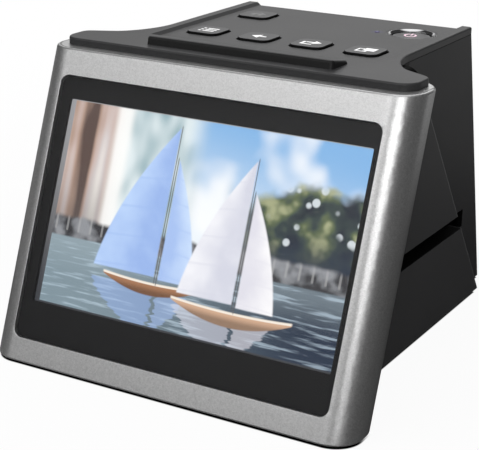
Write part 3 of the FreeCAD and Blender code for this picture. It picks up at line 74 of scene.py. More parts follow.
bezel_low, bezel_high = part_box("front_bezel")
bezel_side = bezel_high.x
bezel_corner = 9.5 * mm
bezel_depth = 19.5 * mm
body_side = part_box("rear_shell")[1].x
cheek_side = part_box("right_cheek_upper")[1].x
cover_thickness = 2.5 * mm
cover_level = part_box("rear_shell")[1].z + cover_thickness

face_lean = 20.45 * degree
face_foot_place = -78.62 * mm
face_up = Vector((0, math.sin(face_lean), math.cos(face_lean)))
face_in = Vector((0, math.cos(face_lean), -math.sin(face_lean)))
face_foot = Vector((0, face_foot_place, bezel_low.z))

gate_low, gate_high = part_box("film_gate_lower")
gate_overlap = 4.0 * mm
slot_start = gate_low.y + gate_overlap
slot_end = gate_high.y - gate_overlap
slot_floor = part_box("right_cheek_lower")[1].z
slot_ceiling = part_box("right_cheek_upper")[0].z
mouth_reach = 17.3 * mm
mouth_drop = 4.2 * mm
mouth_height = 6.5 * mm
mouth_end = slot_end + mouth_reach
mouth_floor = slot_floor - mouth_drop
mouth_ceiling = mouth_floor + mouth_height


def middle(node):
    low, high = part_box(node)
    return (low + high) / 2


# Shader arithmetic

class Value:
    """A shader socket that takes part in plain arithmetic."""

    def __init__(self, shade, socket):
        self.shade = shade
        self.socket = socket

    def maths(self, operation, *others):
        inputs = dict(enumerate((self, *others)))
        return self.shade.node("ShaderNodeMath", {"operation": operation}, inputs)

    def __add__(self, other):
        return self.maths("ADD", other)

    def __radd__(self, other):
        return self.maths("ADD", other)

    def __neg__(self):
        return self.maths("MULTIPLY", -1.0)

    def __sub__(self, other):
        return self.maths("SUBTRACT", other)

    def __rsub__(self, other):
        return -self + other

    def __mul__(self, other):
        return self.maths("MULTIPLY", other)

    def __rmul__(self, other):
        return self.maths("MULTIPLY", other)

    def __truediv__(self, other):
        return self.maths("DIVIDE", other)

    def __pow__(self, other):
        return self.maths("POWER", other)

    def __abs__(self):
        return self.maths("ABSOLUTE")

    def __or__(self, other):
        """The larger of two values, which joins masks."""
        return self.maths("MAXIMUM", other)

    def __and__(self, other):
        """The smaller of two values."""
        return self.maths("MINIMUM", other)

    def sine(self):
        return self.maths("SINE")

    def root(self):
        return self.maths("SQRT")

    def wrapped(self, span):
        """The value's place within a repeating span, from zero up to the span."""
        return self.maths("WRAP", span, 0.0)

    def rise(self, low, high):
        """Smooth step from 0 at the low value to 1 at the high value."""
        return self.shade.node("ShaderNodeMapRange", {"interpolation_type": "SMOOTHSTEP"}, {
            "Value": self, "From Min": low, "From Max": high,
        })

    def fall(self, low, high):
        """Smooth step from 1 at the low value to 0 at the high value."""
        return 1.0 - self.rise(low, high)

    def between(self, low, high, blur):
        """1 from the low to the high value, with a soft edge outside each of them."""
        return self.rise(low - blur, low) * self.fall(high, high + blur)

    def near(self, place, half, blur):
        """1 close to a place, as for a thin line, with a soft edge on both sides."""
        return abs(self - place).fall(half, half + blur)

    def swing(self, span):
        """A noise value of 0 to 1 as a change to both sides of zero."""
        return (self - 0.5) * span


class Shade:
    """A node tree of a material or a world, with a method that adds any node."""

    def __init__(self, name, world=None):
        self.owner = world or bpy.data.materials.new(name)
        self.owner.use_nodes = True
        self.tree = self.owner.node_tree
        self.tree.nodes.clear()
        kind = "ShaderNodeOutputWorld" if world else "ShaderNodeOutputMaterial"
        self.output = self.tree.nodes.new(kind)
        self.position = None

    def node(self, kind, settings=None, sockets=None, out=0):
        """Adds a node, sets it, feeds its sockets and gives one of its outputs."""
        made = self.tree.nodes.new(kind)
        for key, value in (settings or {}).items():
            if key == "stops":
                ramp = made.color_ramp
                while len(ramp.elements) < len(value):
                    ramp.elements.new(0.5)
                for element, (place, colour) in zip(ramp.elements, value):
                    element.position = place
                    element.color = (*colour, 1.0)
            else:
                setattr(made, key, value)
        for key, value in (sockets or {}).items():
            self.feed(made.inputs[key], value)
        return Value(self, made.outputs[out])

    def feed(self, socket, value):
        if isinstance(value, Value):
            self.tree.links.new(value.socket, socket)
        elif isinstance(value, (tuple, list)) and socket.type == "RGBA":
            socket.default_value = (*value[:3], 1.0)
        else:
            socket.default_value = value

    def at(self):
        """Object coordinates, in metres."""
        if self.position is None:
            self.position = self.node("ShaderNodeTexCoord", out="Object")
        return self.position

    def axis(self, vector, index):
        """One of a vector's three parts."""
        return self.node("ShaderNodeSeparateXYZ", None, {0: vector}, out=index)

    def xyz(self):
        return [self.axis(self.at(), index) for index in range(3)]

    def vector(self, x, y, z=0.0):
        return self.node("ShaderNodeCombineXYZ", None, {0: x, 1: y, 2: z})

    def vector_maths(self, operation, *vectors, out=0):
        return self.node("ShaderNodeVectorMath", {"operation": operation}, dict(enumerate(vectors)), out)

    def along(self, direction, origin):
        """Distance of the surface's point from an origin, measured along a direction."""
        offset = self.vector_maths("SUBTRACT", self.at(), origin)
        return self.vector_maths("DOT_PRODUCT", offset, direction, out="Value")

    def facing_up(self):
        """Height part of the surface's direction."""
        return self.axis(self.node("ShaderNodeNewGeometry", out="Normal"), 2)

    def facing_side(self):
        """Sideways part of the surface's direction, 0 to 1."""
        return abs(self.axis(self.node("ShaderNodeNewGeometry", out="Normal"), 0))

    def rays(self):
        """Flags of the rays from the camera, from gloss and through clear pieces."""
        flags = ("Is Camera Ray", "Is Glossy Ray", "Is Transmission Ray")
        return [self.node("ShaderNodeLightPath", out=flag) for flag in flags]

    def noise(self, scale, detail=2.0, vector=None):
        return self.node("ShaderNodeTexNoise", None, {
            "Vector": vector or self.at(), "Scale": scale, "Detail": detail,
        })

    def cells(self, scale, vector=None, out="Distance"):
        """Cell pattern: the distance to the nearest cell's middle, or the cells' colours."""
        return self.node("ShaderNodeTexVoronoi", {"feature": "F1"}, {
            "Vector": vector or self.at(), "Scale": scale,
        }, out)

    def red(self, colour):
        return self.node("ShaderNodeSeparateColor", None, {0: colour})

    def mix(self, share, first, second):
        return self.node("ShaderNodeMix", {"data_type": "RGBA"}, {0: share, 6: first, 7: second}, out=2)

    def grey(self, value):
        return self.node("ShaderNodeCombineColor", None, {0: value, 1: value, 2: value})

    def tinted(self, colour, tone):
        """A colour multiplied by a tone."""
        return self.node("ShaderNodeVectorMath", {"operation": "SCALE"}, {0: tuple(colour), 3: tone})

    def bump(self, height, distance):
        return self.node("ShaderNodeBump", None, {"Height": height, "Distance": distance, "Strength": 1.0})

    def shader(self, **sockets):
        """A Principled surface, with its sockets' names in small letters."""
        names = {
            key.replace("_", " ").title().replace("Ior", "IOR"): value
            for key, value in sockets.items()
        }
        return self.node("ShaderNodeBsdfPrincipled", None, names)

    def finish(self, shader):
        self.tree.links.new(shader.socket, self.output.inputs["Surface"])
        return self.owner

    def surface(self, **sockets):
        """Finishes the material with one Principled surface."""
        return self.finish(self.shader(**sockets))

    def parted(self, share, first, second):
        """Finishes the material with two surfaces, the second where the share is 1."""
        return self.finish(self.node("ShaderNodeMixShader", None, {0: share, 1: first, 2: second}))


# Depths of the fine textures on the surfaces

spark_depth = 0.012 * mm
satin_depth = 0.014 * mm
key_grain_depth = 0.010 * mm
paint_depth = 0.010 * mm
rubber_depth = 0.03 * mm
chip_depth = 0.01 * mm
coat_depth = 0.02 * mm
rolled_depth = 0.006 * mm
track_depth = 0.02 * mm
foam_depth = 0.05 * mm


# Materials of the case

slot_margin = 0.1 * mm
slot_blur = 0.2 * mm
slot_end_margin = 3.0 * mm
slot_end_blur = 1.0 * mm
wall_skin = 0.05 * mm


def moulded(name, colour, roughness, grain=2600.0, height=spark_depth, specular=0.5, patch=0.12):
    """Spark-textured moulded plastic: fine bump, and slow changes of tone and gloss."""
    shade = Shade(name)
    fine = shade.noise(grain, 3.0)
    slow = shade.noise(38.0)
    return shade.surface(
        base_color=shade.tinted(colour, slow.swing(patch) + fine.swing(0.16) + 1.0),
        roughness=slow.swing(0.10) + fine.swing(0.08) + roughness,
        specular_ior_level=specular, normal=shade.bump(fine, height),
    )


def case_plastic(name, colour, roughness, specular, grain=2600.0, rim_highlight=0.0):
    """Black case plastic, with painted shade in the film slot, its mouth and on the cheeks' tops, and a
    painted highlight on the cheeks' rounded edges if asked.
    """
    shade = Shade(name)
    x, y, z = shade.xyz()
    aside = abs(x)
    fine = shade.noise(grain, 3.0)
    slow = shade.noise(38.0)
    # Painted shade: the film slot's faces, the mouth's faces and the cheeks' flat tops get a near-black
    # copy of the plastic, for the shade that falls there.
    slot_shade = z.between(slot_floor - slot_margin, slot_ceiling + slot_margin, slot_blur)
    slot_shade = slot_shade * y.between(slot_start, slot_end + slot_end_margin, slot_end_blur)
    mouth_shade = z.between(mouth_floor, mouth_ceiling, slot_blur)
    mouth_shade = mouth_shade * y.rise(slot_start, slot_end) * y.fall(mouth_end, mouth_end + slot_blur)
    mouth_shade = mouth_shade * aside.fall(body_side - slot_blur, body_side - wall_skin)
    cheek_top_shade = shade.facing_up().rise(0.15, 0.50) * aside.rise(body_side - slot_margin, body_side)
    cheek_top_shade = cheek_top_shade * z.rise(slot_ceiling, cover_level)
    # Painted highlight: a paler tone on the cheeks' rounded side edges.
    side = shade.facing_side()
    rim_highlight_mask = side.rise(0.66, 0.80) * side.fall(0.970, 0.995) * aside.rise(body_side, cheek_side)
    outside = shade.shader(
        base_color=shade.tinted(colour, slow.swing(0.12) + fine.swing(0.20) + 1.0 + rim_highlight_mask * rim_highlight),
        roughness=slow.swing(0.10) + fine.swing(0.08) + roughness,
        specular_ior_level=specular, normal=shade.bump(fine, spark_depth),
    )
    # Near-black, nearly glossless copy of the plastic that paints the shade.
    inside = shade.shader(
        base_color=shade.grey(fine * 0.003 + 0.001), roughness=fine.swing(0.1) + 0.6,
        specular_ior_level=0.04,
    )
    return shade.parted(slot_shade | mouth_shade | cheek_top_shade.rise(0.3, 0.6), outside, inside)


def past_corners(x, depth):
    """Distance from the bezel's flat middle, out over its rounded front corners."""
    past_side = (abs(x) - (bezel_side - bezel_corner)) | 0.0
    past_front = (bezel_corner - depth) | 0.0
    return (past_side ** 2.0 + past_front ** 2.0).root()


top_seam_inset = 1.1 * mm
top_seam_half = 0.20 * mm
top_seam_blur = 0.25 * mm
side_seam_from_rear = 1.5 * mm
side_seam_half = 0.25 * mm
side_seam_blur = 0.30 * mm
side_shade_from_rear = 2.0 * mm


def silver_paint():
    """Sprayed metallic paint with fine flakes, dark seams near two edges, and painted shade on its sides
    towards the rear.
    """
    shade = Shade("silver_paint")
    sparkle = shade.red(shade.cells(3600.0, out="Color"))
    cloud = shade.noise(1200.0, 3.0)
    x, y, z = shade.xyz()
    depth = y - face_foot.y - (z - face_foot.z) * math.tan(face_lean)
    inset = bezel_corner - past_corners(x, depth)
    level_part = shade.facing_up().rise(0.60, 0.80)
    side_part = shade.facing_side().rise(0.85, 0.95)
    top_seam = inset.near(top_seam_inset, top_seam_half, top_seam_blur) * level_part
    side_seam = depth.near(bezel_depth - side_seam_from_rear, side_seam_half, side_seam_blur) * side_part
    # Painted shade: the sides are darkened towards the rear, for light that falls off there.
    side_shade = side_part * depth.rise(bezel_corner, bezel_depth - side_shade_from_rear)
    tone = sparkle.swing(0.12) + cloud.swing(0.20) + 0.62
    tone = tone * (1.0 - top_seam * 0.65) * (1.0 - side_seam * 0.40) * (1.0 - side_shade * 0.50)
    return shade.surface(
        base_color=shade.grey(tone), metallic=0.9, roughness=cloud.swing(0.10) + 0.34,
        normal=shade.bump(sparkle * 0.4 + cloud, paint_depth),
    )


strip_lift = (0.05 * mm, 0.15 * mm)
ledge_run = (3.4 * mm, 4.4 * mm)
ledge_side = (28.0 * mm, 36.0 * mm)
key_area_side = (39.0 * mm, 39.5 * mm)
key_area_front = -19.0 * mm
key_area_rear = 50.0 * mm
key_area_blur = 1.0 * mm
light_spill = (0.8 * mm, 3.4 * mm)


def cover_plastic():
    """Satin plastic with painted shade in the key holes and on the strip's front, painted highlights along
    the strip's top edge and the flat before it, and a painted violet glow round the status light.
    """
    shade = Shade("cover_plastic")
    x, y, z = shade.xyz()
    fine = shade.noise(1700.0, 3.0)
    slow = shade.noise(30.0)
    slope = shade.facing_up()
    on_strip = (z - cover_level).rise(*strip_lift)
    # Painted shade on the strip's steep front; the next line marks its top edge for a painted highlight.
    strip_front_shade = on_strip * slope.fall(0.70, 0.88)
    crest_highlight = on_strip * slope.rise(0.88, 0.93) * slope.fall(0.970, 0.995)
    # Painted highlight on the narrow flat in front of the strip.
    ledge_highlight = (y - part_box("top_cover")[0].y).fall(*ledge_run) * abs(x).fall(*ledge_side)
    ledge_highlight = ledge_highlight * slope.rise(0.90, 0.99)
    among_keys = abs(x).fall(*key_area_side) * y.between(key_area_front, key_area_rear, key_area_blur)
    # Painted shade on the key holes' walls.
    hole_wall_shade = among_keys * slope.fall(0.30, 0.60)
    light = middle("status_light_pipe")
    from_light = ((x - light.x) ** 2.0 + (y - light.y) ** 2.0).root()
    # Painted light: violet from the status light, spilled over the cover's colour.
    painted_glow_share = from_light.fall(*light_spill) * 0.7
    tone = slow.swing(0.10) + fine.swing(0.44) + 1.0 + crest_highlight * 1.2 + ledge_highlight * 0.8
    satin = shade.mix(painted_glow_share, shade.tinted((0.033, 0.033, 0.034), tone), (0.038, 0.032, 0.085))
    cover = shade.shader(
        base_color=satin, roughness=slow.swing(0.08) + fine.swing(0.10) + 0.42,
        specular_ior_level=0.32, normal=shade.bump(fine, satin_depth),
    )
    # Darker, less glossy copy of the plastic that paints the shade.
    dark = shade.shader(
        base_color=shade.grey(fine * 0.010 + 0.009), roughness=slow.swing(0.08) + 0.38,
        specular_ior_level=0.14,
    )
    return shade.parted(strip_front_shade | hole_wall_shade, cover, dark)


# Symbols on the keys, drawn in millimetres about the key's middle

print_blur = 0.07
list_pitch = 2.0
list_half_line = 0.5
list_bullet = (-2.9, -1.9)
list_line = (-1.2, 3.2)
power_shift = (-1.2, 1.7)
cap_upper_part = (-0.45, -0.35)


def within(distance):
    """1 inside a shape, from the signed distance to its outline in millimetres."""
    return distance.fall(-print_blur, print_blur)


def bar(x, y, x0, x1, y0, y1):
    across = abs(x - (x0 + x1) / 2) - (x1 - x0) / 2
    up = abs(y - (y0 + y1) / 2) - (y1 - y0) / 2
    return within(across | up)


def arrow_head(x, y, tip_x, base_x, cy, half):
    """Triangle that points along X, from its base to its tip."""
    run = abs(tip_x - base_x)
    way = 1.0 if tip_x > base_x else -1.0
    behind = (base_x - x) * way
    slant = (abs(y - cy) * run + ((x - tip_x) * way) * half) / math.hypot(run, half)
    return within(behind | slant)


def roof_slope(x, y, ridge):
    """Area under two roof slopes that meet at a ridge."""
    pitch = 0.8
    return within(((y - ridge) + abs(x) * pitch) / math.hypot(1.0, pitch))


def joined(masks):
    """One mask of several."""
    whole = masks[0]
    for mask in masks[1:]:
        whole = whole | mask
    return whole


def mode_symbol(x, y):
    """Three list lines with their bullets."""
    return joined([
        bar(x, y, left, right, row - list_half_line, row + list_half_line)
        for row in (-list_pitch, 0.0, list_pitch) for left, right in (list_bullet, list_line)
    ])


def left_symbol(x, y):
    """Arrow to the left."""
    return arrow_head(x, y, -2.8, 0.4, 0.0, 2.5) | bar(x, y, 0.2, 2.8, -0.55, 0.55)


def right_symbol(x, y):
    """Arrow to the right over a corner mark."""
    head = arrow_head(x, y, 3.4, 0.4, 0.9, 2.3) | bar(x, y, -2.2, 0.6, 0.35, 1.45)
    return head | bar(x, y, -3.4, -2.4, -2.6, 1.45) | bar(x, y, -3.4, 1.0, -2.6, -1.7)


def ok_symbol(x, y):
    """Two sheets, one over the other."""
    sheet = bar(x, y, -3.1, 1.0, -2.7, 1.7) - bar(x, y, -2.4, 0.3, -2.0, 1.0)
    return sheet | bar(x, y, -0.9, 3.3, -1.1, 2.9)


def home_symbol(x, y):
    """Outline of a house."""
    roof = roof_slope(x, y, 2.6) * (1.0 - roof_slope(x, y, 1.8)) * bar(x, y, -3.2, 3.2, -0.4, 2.8)
    walls = bar(x, y, -2.1, 2.1, -2.3, 0.4) - bar(x, y, -0.6, 0.6, -2.3, -0.6)
    return roof | walls


def power_symbol(x, y):
    """Open ring with a bar in its gap."""
    radius = 1.9
    half_line = 0.35
    circle = within(abs((x ** 2.0 + y ** 2.0).root() - radius) - half_line)
    circle = circle * (1.0 - bar(x, y, -0.8, 0.8, 0.7, 3.0))
    return circle | bar(x, y, -half_line, half_line, 0.3, 2.7)


def key_cap(name, symbol, ink, shift):
    """Satin key with painted shade on its sides, a painted highlight along its rounded top edge, and a
    printed symbol that is painted to glow.
    """
    shade = Shade(name + "_cap")
    centre = middle(name)
    x = shade.along((1.0 / mm, 0.0, 0.0), centre) - shift[0]
    y = shade.along((0.0, 1.0 / mm, 0.0), centre) - shift[1]
    z = shade.along((0.0, 0.0, 1.0 / mm), centre)
    half_height = (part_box(name)[1].z - centre.z) / mm
    upper = (z - half_height).rise(*cap_upper_part)
    slope = shade.facing_up()
    print_mask = symbol(x, y) * upper
    fine = shade.noise(1900.0, 3.0)
    # Painted highlight: a paler tone along the rounded top edge.
    rim_highlight = slope.rise(0.93, 0.96) * slope.fall(0.990, 0.9995) * upper
    plastic = shade.tinted((0.036, 0.036, 0.038), fine.swing(0.30) + rim_highlight * 2.2 + 1.0)
    top = shade.shader(
        base_color=shade.mix(print_mask, plastic, ink),
        roughness=print_mask * 0.15 + fine.swing(0.08) + 0.36, specular_ior_level=0.40,
        # Painted glow: the print also emits light, though it is no lamp.
        emission_color=shade.tinted(ink, print_mask * 0.28), emission_strength=1.0,
        normal=shade.bump(fine, key_grain_depth),
    )
    # Near-black copy of the plastic that paints shade on the key's sides.
    side = shade.shader(
        base_color=shade.grey(fine * 0.004 + 0.002), roughness=fine.swing(0.1) + 0.5,
        specular_ior_level=0.08,
    )
    return shade.parted(1.0 - slope.rise(0.88, 0.94) * upper, top, side)


# Display: places on the leaning face in millimetres, and places in the picture as shares
# In the picture u runs from 0 at the left to 1 at the right, and v from 0 at the bottom to 1 at the top.

picture_left = -52.3
picture_right = 55.6
picture_low = 21.3
picture_high = 88.1
picture_width = picture_right - picture_left
picture_height = picture_high - picture_low
panel_skin = (2.95, 3.05)
horizon = 0.34
reflection_drop = 0.055
reflection_stretch = 3.0


def soft(distance, width=0.008):
    """1 inside a shape of the picture, with a soft edge, in shares of the picture's height."""
    return distance.fall(-width, width)


def picture_sky(shade, u, v, cloud):
    sky = shade.mix((v + u * 0.25).rise(0.45, 1.2), (0.80, 0.86, 0.90), (0.20, 0.42, 0.72))
    return shade.mix(cloud.rise(0.44, 0.64) * 0.85, sky, (0.92, 0.93, 0.94))


def picture_town(shade, u, v, cloud):
    """Warm fronts on the left and a cool glass front beside them, all out of focus."""
    stripes = shade.noise(1.0, 1.0, shade.vector(u * 17.0, v * 0.8, 1.0))
    warm = shade.node("ShaderNodeValToRGB", {"stops": (
        (0.32, (0.09, 0.055, 0.045)), (0.44, (0.40, 0.27, 0.21)), (0.52, (0.56, 0.44, 0.40)),
        (0.60, (0.62, 0.56, 0.55)), (0.72, (0.80, 0.76, 0.72)),
    )}, {"Fac": stripes + cloud * 0.25 - 0.12})
    warm = shade.mix((v - 0.32).rise(0.0, 0.45), shade.mix(0.55, warm, (0.10, 0.085, 0.08)), warm)
    floors = shade.noise(1.0, 1.0, shade.vector(u * 11.0, v * 3.6, 6.0))
    cool = shade.mix(floors.rise(0.35, 0.65), (0.27, 0.40, 0.44), (0.70, 0.78, 0.80))
    gap = u.rise(0.145, 0.175) * u.fall(0.20, 0.235)
    fronts = shade.mix(u.rise(0.17, 0.22), warm, cool)
    fronts = shade.mix(gap * 0.85, fronts, (0.93, 0.93, 0.91))
    return u.fall(0.40, 0.50), fronts


def picture_trees(shade, u, v, cloud, patch, flat):
    """Dark trees on the right with round spots of light between their leaves."""
    leaves = shade.node("ShaderNodeValToRGB", {"stops": (
        (0.34, (0.006, 0.012, 0.022)), (0.46, (0.030, 0.050, 0.045)), (0.56, (0.10, 0.13, 0.06)),
        (0.66, (0.34, 0.36, 0.20)),
    )}, {"Fac": patch})
    leaves = shade.mix((v - 0.40).rise(0.0, 0.22), (0.012, 0.022, 0.045), leaves)
    lit = soft(shade.cells(13.0, flat) - 0.26, 0.05) * cloud.rise(0.46, 0.56) * (v - 0.42).rise(0.0, 0.10)
    leaves = shade.mix(lit * 0.75, leaves, (0.78, 0.84, 0.88))
    top = v - cloud * 0.42 - patch * 0.16 - u * 0.20
    return u.rise(0.55, 0.70) * top.fall(0.26, 0.33), leaves


def picture_quay(shade, u, v, patch):
    """Dark stones with a row of pale posts on top."""
    stones = shade.mix(patch.rise(0.40, 0.62), (0.030, 0.030, 0.034), (0.26, 0.27, 0.29))
    posts = (u * 150.0).sine().rise(0.75, 0.95) * (v - horizon).rise(0.02, 0.03)
    quay = shade.mix(posts * 0.5, stones, (0.40, 0.40, 0.40))
    return (v - patch * 0.05).fall(horizon + 0.055, horizon + 0.085), quay


def picture_water(shade, u, v, ripple):
    water = shade.mix(u.rise(0.10, 0.95), (0.20, 0.27, 0.31), (0.012, 0.024, 0.050))
    water = shade.mix(v.rise(0.12, horizon) * 0.4, water, (0.34, 0.42, 0.46))
    water = shade.mix(ripple.rise(0.50, 0.68) * 0.55, water, (0.50, 0.62, 0.72))
    return (v - ripple * 0.004).fall(horizon - 0.012, horizon), water


def sail(u, v, mast, foot, head, width, side):
    """Mask of a sail with a curved free edge, the height in it, and the share of its width passed."""
    climb = (((v - foot) / (head - foot)) & 1.0) | 0.0
    reach = (1.0 - climb) * (climb * 0.62 + 1.0) * width
    out = (u - mast) * side
    cloth = soft(out - reach, 0.004) * soft(-out, 0.003) * soft(foot - v, 0.005) * soft(v - head, 0.005)
    return cloth, climb, out / (reach + 0.01)


def hull(u, v, centre, level, half, depth):
    """Mask of a hull with a bent deck, and the height above that deck."""
    bend = (u - centre) / half
    keel = (bend ** 2.0 - 1.0) * depth + level
    deck = bend ** 2.0 * 0.014 + level
    return soft(v - deck, 0.004) * soft(keel - v, 0.004) * soft(abs(u - centre) - half, 0.004), v - deck


def sailing_boats(shade, u, v, view, patch, ripple):
    """Adds two boats to the view: their reflections, then the hulls, then the masts and sails."""
    sails = (
        ((0.385, 0.235, 0.95, 0.215, -1.0), (0.50, 0.66, 0.93), (0.30, 0.44, 0.78)),
        ((0.400, 0.225, 0.80, 0.115, 1.0), (0.62, 0.76, 0.95), (0.36, 0.50, 0.82)),
        ((0.655, 0.190, 0.86, 0.185, -1.0), (0.90, 0.90, 0.93), (0.62, 0.63, 0.72)),
        ((0.670, 0.180, 0.71, 0.120, 1.0), (0.96, 0.95, 0.95), (0.70, 0.69, 0.76)),
    )
    hulls = (
        ((0.375, 0.205, 0.165, 0.062), (0.36, 0.17, 0.085)),
        ((0.655, 0.155, 0.200, 0.072), (0.60, 0.38, 0.25)),
    )
    wobble = u + ripple.swing(0.07)
    for outline, _, shadow in sails:
        foot = outline[1]
        mirrored = (foot - reflection_drop - v) * reflection_stretch + foot
        cloth = sail(wobble, mirrored, *outline)[0]
        view = shade.mix(cloth * 0.50 * soft(v - foot + 0.05), view, shadow)
    for outline, tint in hulls:
        body, over_deck = hull(u, v, *outline)
        colour = shade.mix(over_deck.rise(-0.050, -0.012), shade.tinted(tint, 0.45), tint)
        colour = shade.mix(over_deck.rise(-0.013, -0.009), colour, (0.86, 0.78, 0.68))
        view = shade.mix(body, view, colour)
    for outline, tint, shadow in sails:
        mast, foot, head, _, side = outline
        cloth, climb, across = sail(u, v, *outline)
        colour = shade.mix(across.rise(0.05, 1.0) * 0.7 + patch.swing(0.9), shadow, tint)
        seam = (climb * 31.0 + across).sine().rise(0.94, 0.99) * 0.30
        pole = soft(abs(u - mast + side * 0.004) - 0.0016, 0.0012)
        pole = pole * soft(v - head - 0.01) * soft(foot - 0.03 - v)
        view = shade.mix(pole * 0.8, view, (0.10, 0.09, 0.09))
        view = shade.mix(cloth, view, shade.mix(seam, colour, shadow))
    return view


def display_picture():
    """The lit panel with a made-up harbour view: two sailing boats before a town out of focus."""
    shade = Shade("display_picture")
    x = shade.along((1.0 / mm, 0.0, 0.0), (0.0, 0.0, 0.0))
    up = shade.along(tuple(face_up / mm), face_foot)
    depth = shade.along(tuple(face_in / mm), face_foot)
    u = (x - picture_left) / picture_width
    v = (up - picture_low) / picture_height
    flat = shade.vector(u * (picture_width / picture_height), v)
    cloud = shade.noise(2.6, 2.0, flat)
    patch = shade.noise(8.0, 2.0, flat)
    ripple = shade.noise(1.0, 3.0, shade.vector(u * 7.0, v * 52.0, 3.0))

    view = picture_sky(shade, u, v, cloud)
    for mask, colour in (
        picture_town(shade, u, v, cloud), picture_trees(shade, u, v, cloud, patch, flat),
        picture_quay(shade, u, v, patch), picture_water(shade, u, v, ripple),
    ):
        view = shade.mix(mask, view, colour)
    view = sailing_boats(shade, u, v, view, patch, ripple)

    inside = within(abs(u - 0.5) * picture_width - picture_width / 2)
    inside = inside * within(abs(v - 0.5) * picture_height - picture_height / 2)
    border = shade.mix(v.rise(0.0, 1.0), (0.045, 0.048, 0.055), (0.30, 0.30, 0.31))
    lit = shade.mix(depth.fall(*panel_skin), (0.0, 0.0, 0.0), shade.mix(inside, border, view))
    return shade.surface(
        base_color=(0.01, 0.01, 0.012), roughness=0.25, emission_color=lit, emission_strength=1.44,
    )


# Materials of the other pieces

opal_depth = 2.0 * mm
board_hole_pitch = 2.54 * mm
pad_radius = 0.42
hole_radius = 0.18


def key_ring():
    """Ring round the power key: satin on top, with a polished metal funnel, and painted shade on its bore
    and other steep faces.
    """
    shade = Shade("key_ring")
    slope = shade.facing_up()
    fine = shade.noise(1900.0, 3.0)
    funnel = slope.rise(0.35, 0.45) * slope.fall(0.90, 0.96)
    # Painted shade: faces that don't face up, the bore among them, are near-black.
    base = shade.mix(slope.rise(0.92, 0.97), (0.004, 0.004, 0.004), (0.030, 0.030, 0.031))
    base = shade.mix(funnel, base, (0.78, 0.78, 0.79))
    return shade.surface(
        base_color=base, metallic=funnel, roughness=0.42 - funnel * 0.32 + fine.swing(0.06),
        specular_ior_level=0.30, normal=shade.bump(fine * (1.0 - funnel), key_grain_depth),
    )


def clear_window():
    """Clear pane: a thin share of a black gloss surface, which lets the rest of the light pass."""
    shade = Shade("clear_acrylic")
    haze = shade.noise(60.0)
    return shade.surface(
        base_color=shade.grey(haze * 0.01 + 0.01), roughness=haze.swing(0.02) + 0.04,
        specular_ior_level=0.5, alpha=0.14,
    )


def gloss(name, colour, roughness, metallic=0.0):
    """Smooth moulded or coated piece, with slight changes in gloss and tone."""
    shade = Shade(name)
    slow = shade.noise(60.0, 3.0)
    return shade.surface(
        base_color=shade.tinted(colour, slow.swing(0.16) + 1.0), roughness=slow.swing(0.12) + roughness,
        metallic=metallic, normal=shade.bump(slow, coat_depth),
    )


def sheet_metal(name, colour, roughness=0.32):
    """Rolled metal with fine level lines."""
    shade = Shade(name)
    lines = shade.noise(1.0, 3.0, shade.vector_maths("MULTIPLY", shade.at(), (60.0, 60.0, 2400.0)))
    cloud = shade.noise(90.0, 3.0)
    return shade.surface(
        base_color=shade.tinted(colour, lines.swing(0.22) + cloud.swing(0.14) + 1.0), metallic=1.0,
        roughness=lines.swing(0.16) + roughness, normal=shade.bump(lines, rolled_depth),
    )


def board(name, mask_colour, track_colour):
    """Circuit board with tracks under its coat, and gilt pads with holes."""
    shade = Shade(name)
    x, y = shade.xyz()[:2]
    tracks = shade.node("ShaderNodeTexBrick", {"offset": 0.37, "squash": 1.6}, {
        "Vector": shade.at(), "Color1": (1.0, 1.0, 1.0), "Color2": (0.55, 0.55, 0.55),
        "Mortar": (0.0, 0.0, 0.0), "Scale": 210.0, "Mortar Size": 0.025,
    })
    lines = shade.red(tracks)
    px = x.wrapped(board_hole_pitch) - board_hole_pitch / 2
    py = y.wrapped(board_hole_pitch) - board_hole_pitch / 2
    far = (px ** 2.0 + py ** 2.0).root() / mm
    chosen = shade.noise(170.0, 1.0).rise(0.55, 0.57)
    pads = within(far - pad_radius) * chosen
    holes = within(far - hole_radius) * chosen
    base = shade.mix(lines.rise(0.1, 0.3) * 0.5, track_colour, mask_colour)
    base = shade.mix(pads, base, (0.72, 0.60, 0.38))
    base = shade.mix(holes, base, (0.02, 0.02, 0.02))
    return shade.surface(
        base_color=base, metallic=pads * 0.8, roughness=0.32 - pads * 0.08,
        normal=shade.bump(lines + pads, track_depth),
    )


def glow(name, colour, strength, body=(0.7, 0.7, 0.75)):
    """Lit lens or chip, with a slightly uneven light."""
    shade = Shade(name)
    lit = shade.mix(shade.noise(400.0, 1.0), tuple(part * 0.9 for part in colour), colour)
    return shade.surface(base_color=body, roughness=0.25, emission_color=lit, emission_strength=strength)


def opal(name, colour):
    """White plastic that light passes into."""
    shade = Shade(name)
    cloud = shade.noise(120.0)
    return shade.surface(
        base_color=shade.mix(cloud, tuple(part * 0.94 for part in colour), colour),
        roughness=cloud.swing(0.1) + 0.4, subsurface_weight=0.3,
        subsurface_radius=(opal_depth, opal_depth, opal_depth), subsurface_scale=1.0,
    )


def foam():
    shade = Shade("black_foam")
    cells = shade.cells(2600.0)
    base = shade.mix(cells, (0.030, 0.030, 0.030), (0.016, 0.016, 0.016))
    return shade.surface(base_color=base, roughness=0.9, normal=shade.bump(cells, foam_depth))


def lens_glass():
    """Clear glass with a faint blue to violet coat."""
    shade = Shade("lens_glass")
    tint = shade.mix(shade.noise(200.0, 1.0), (0.85, 0.90, 1.0), (0.92, 0.88, 1.0))
    return shade.surface(base_color=tint, roughness=0.02, transmission_weight=1.0, ior=1.52)


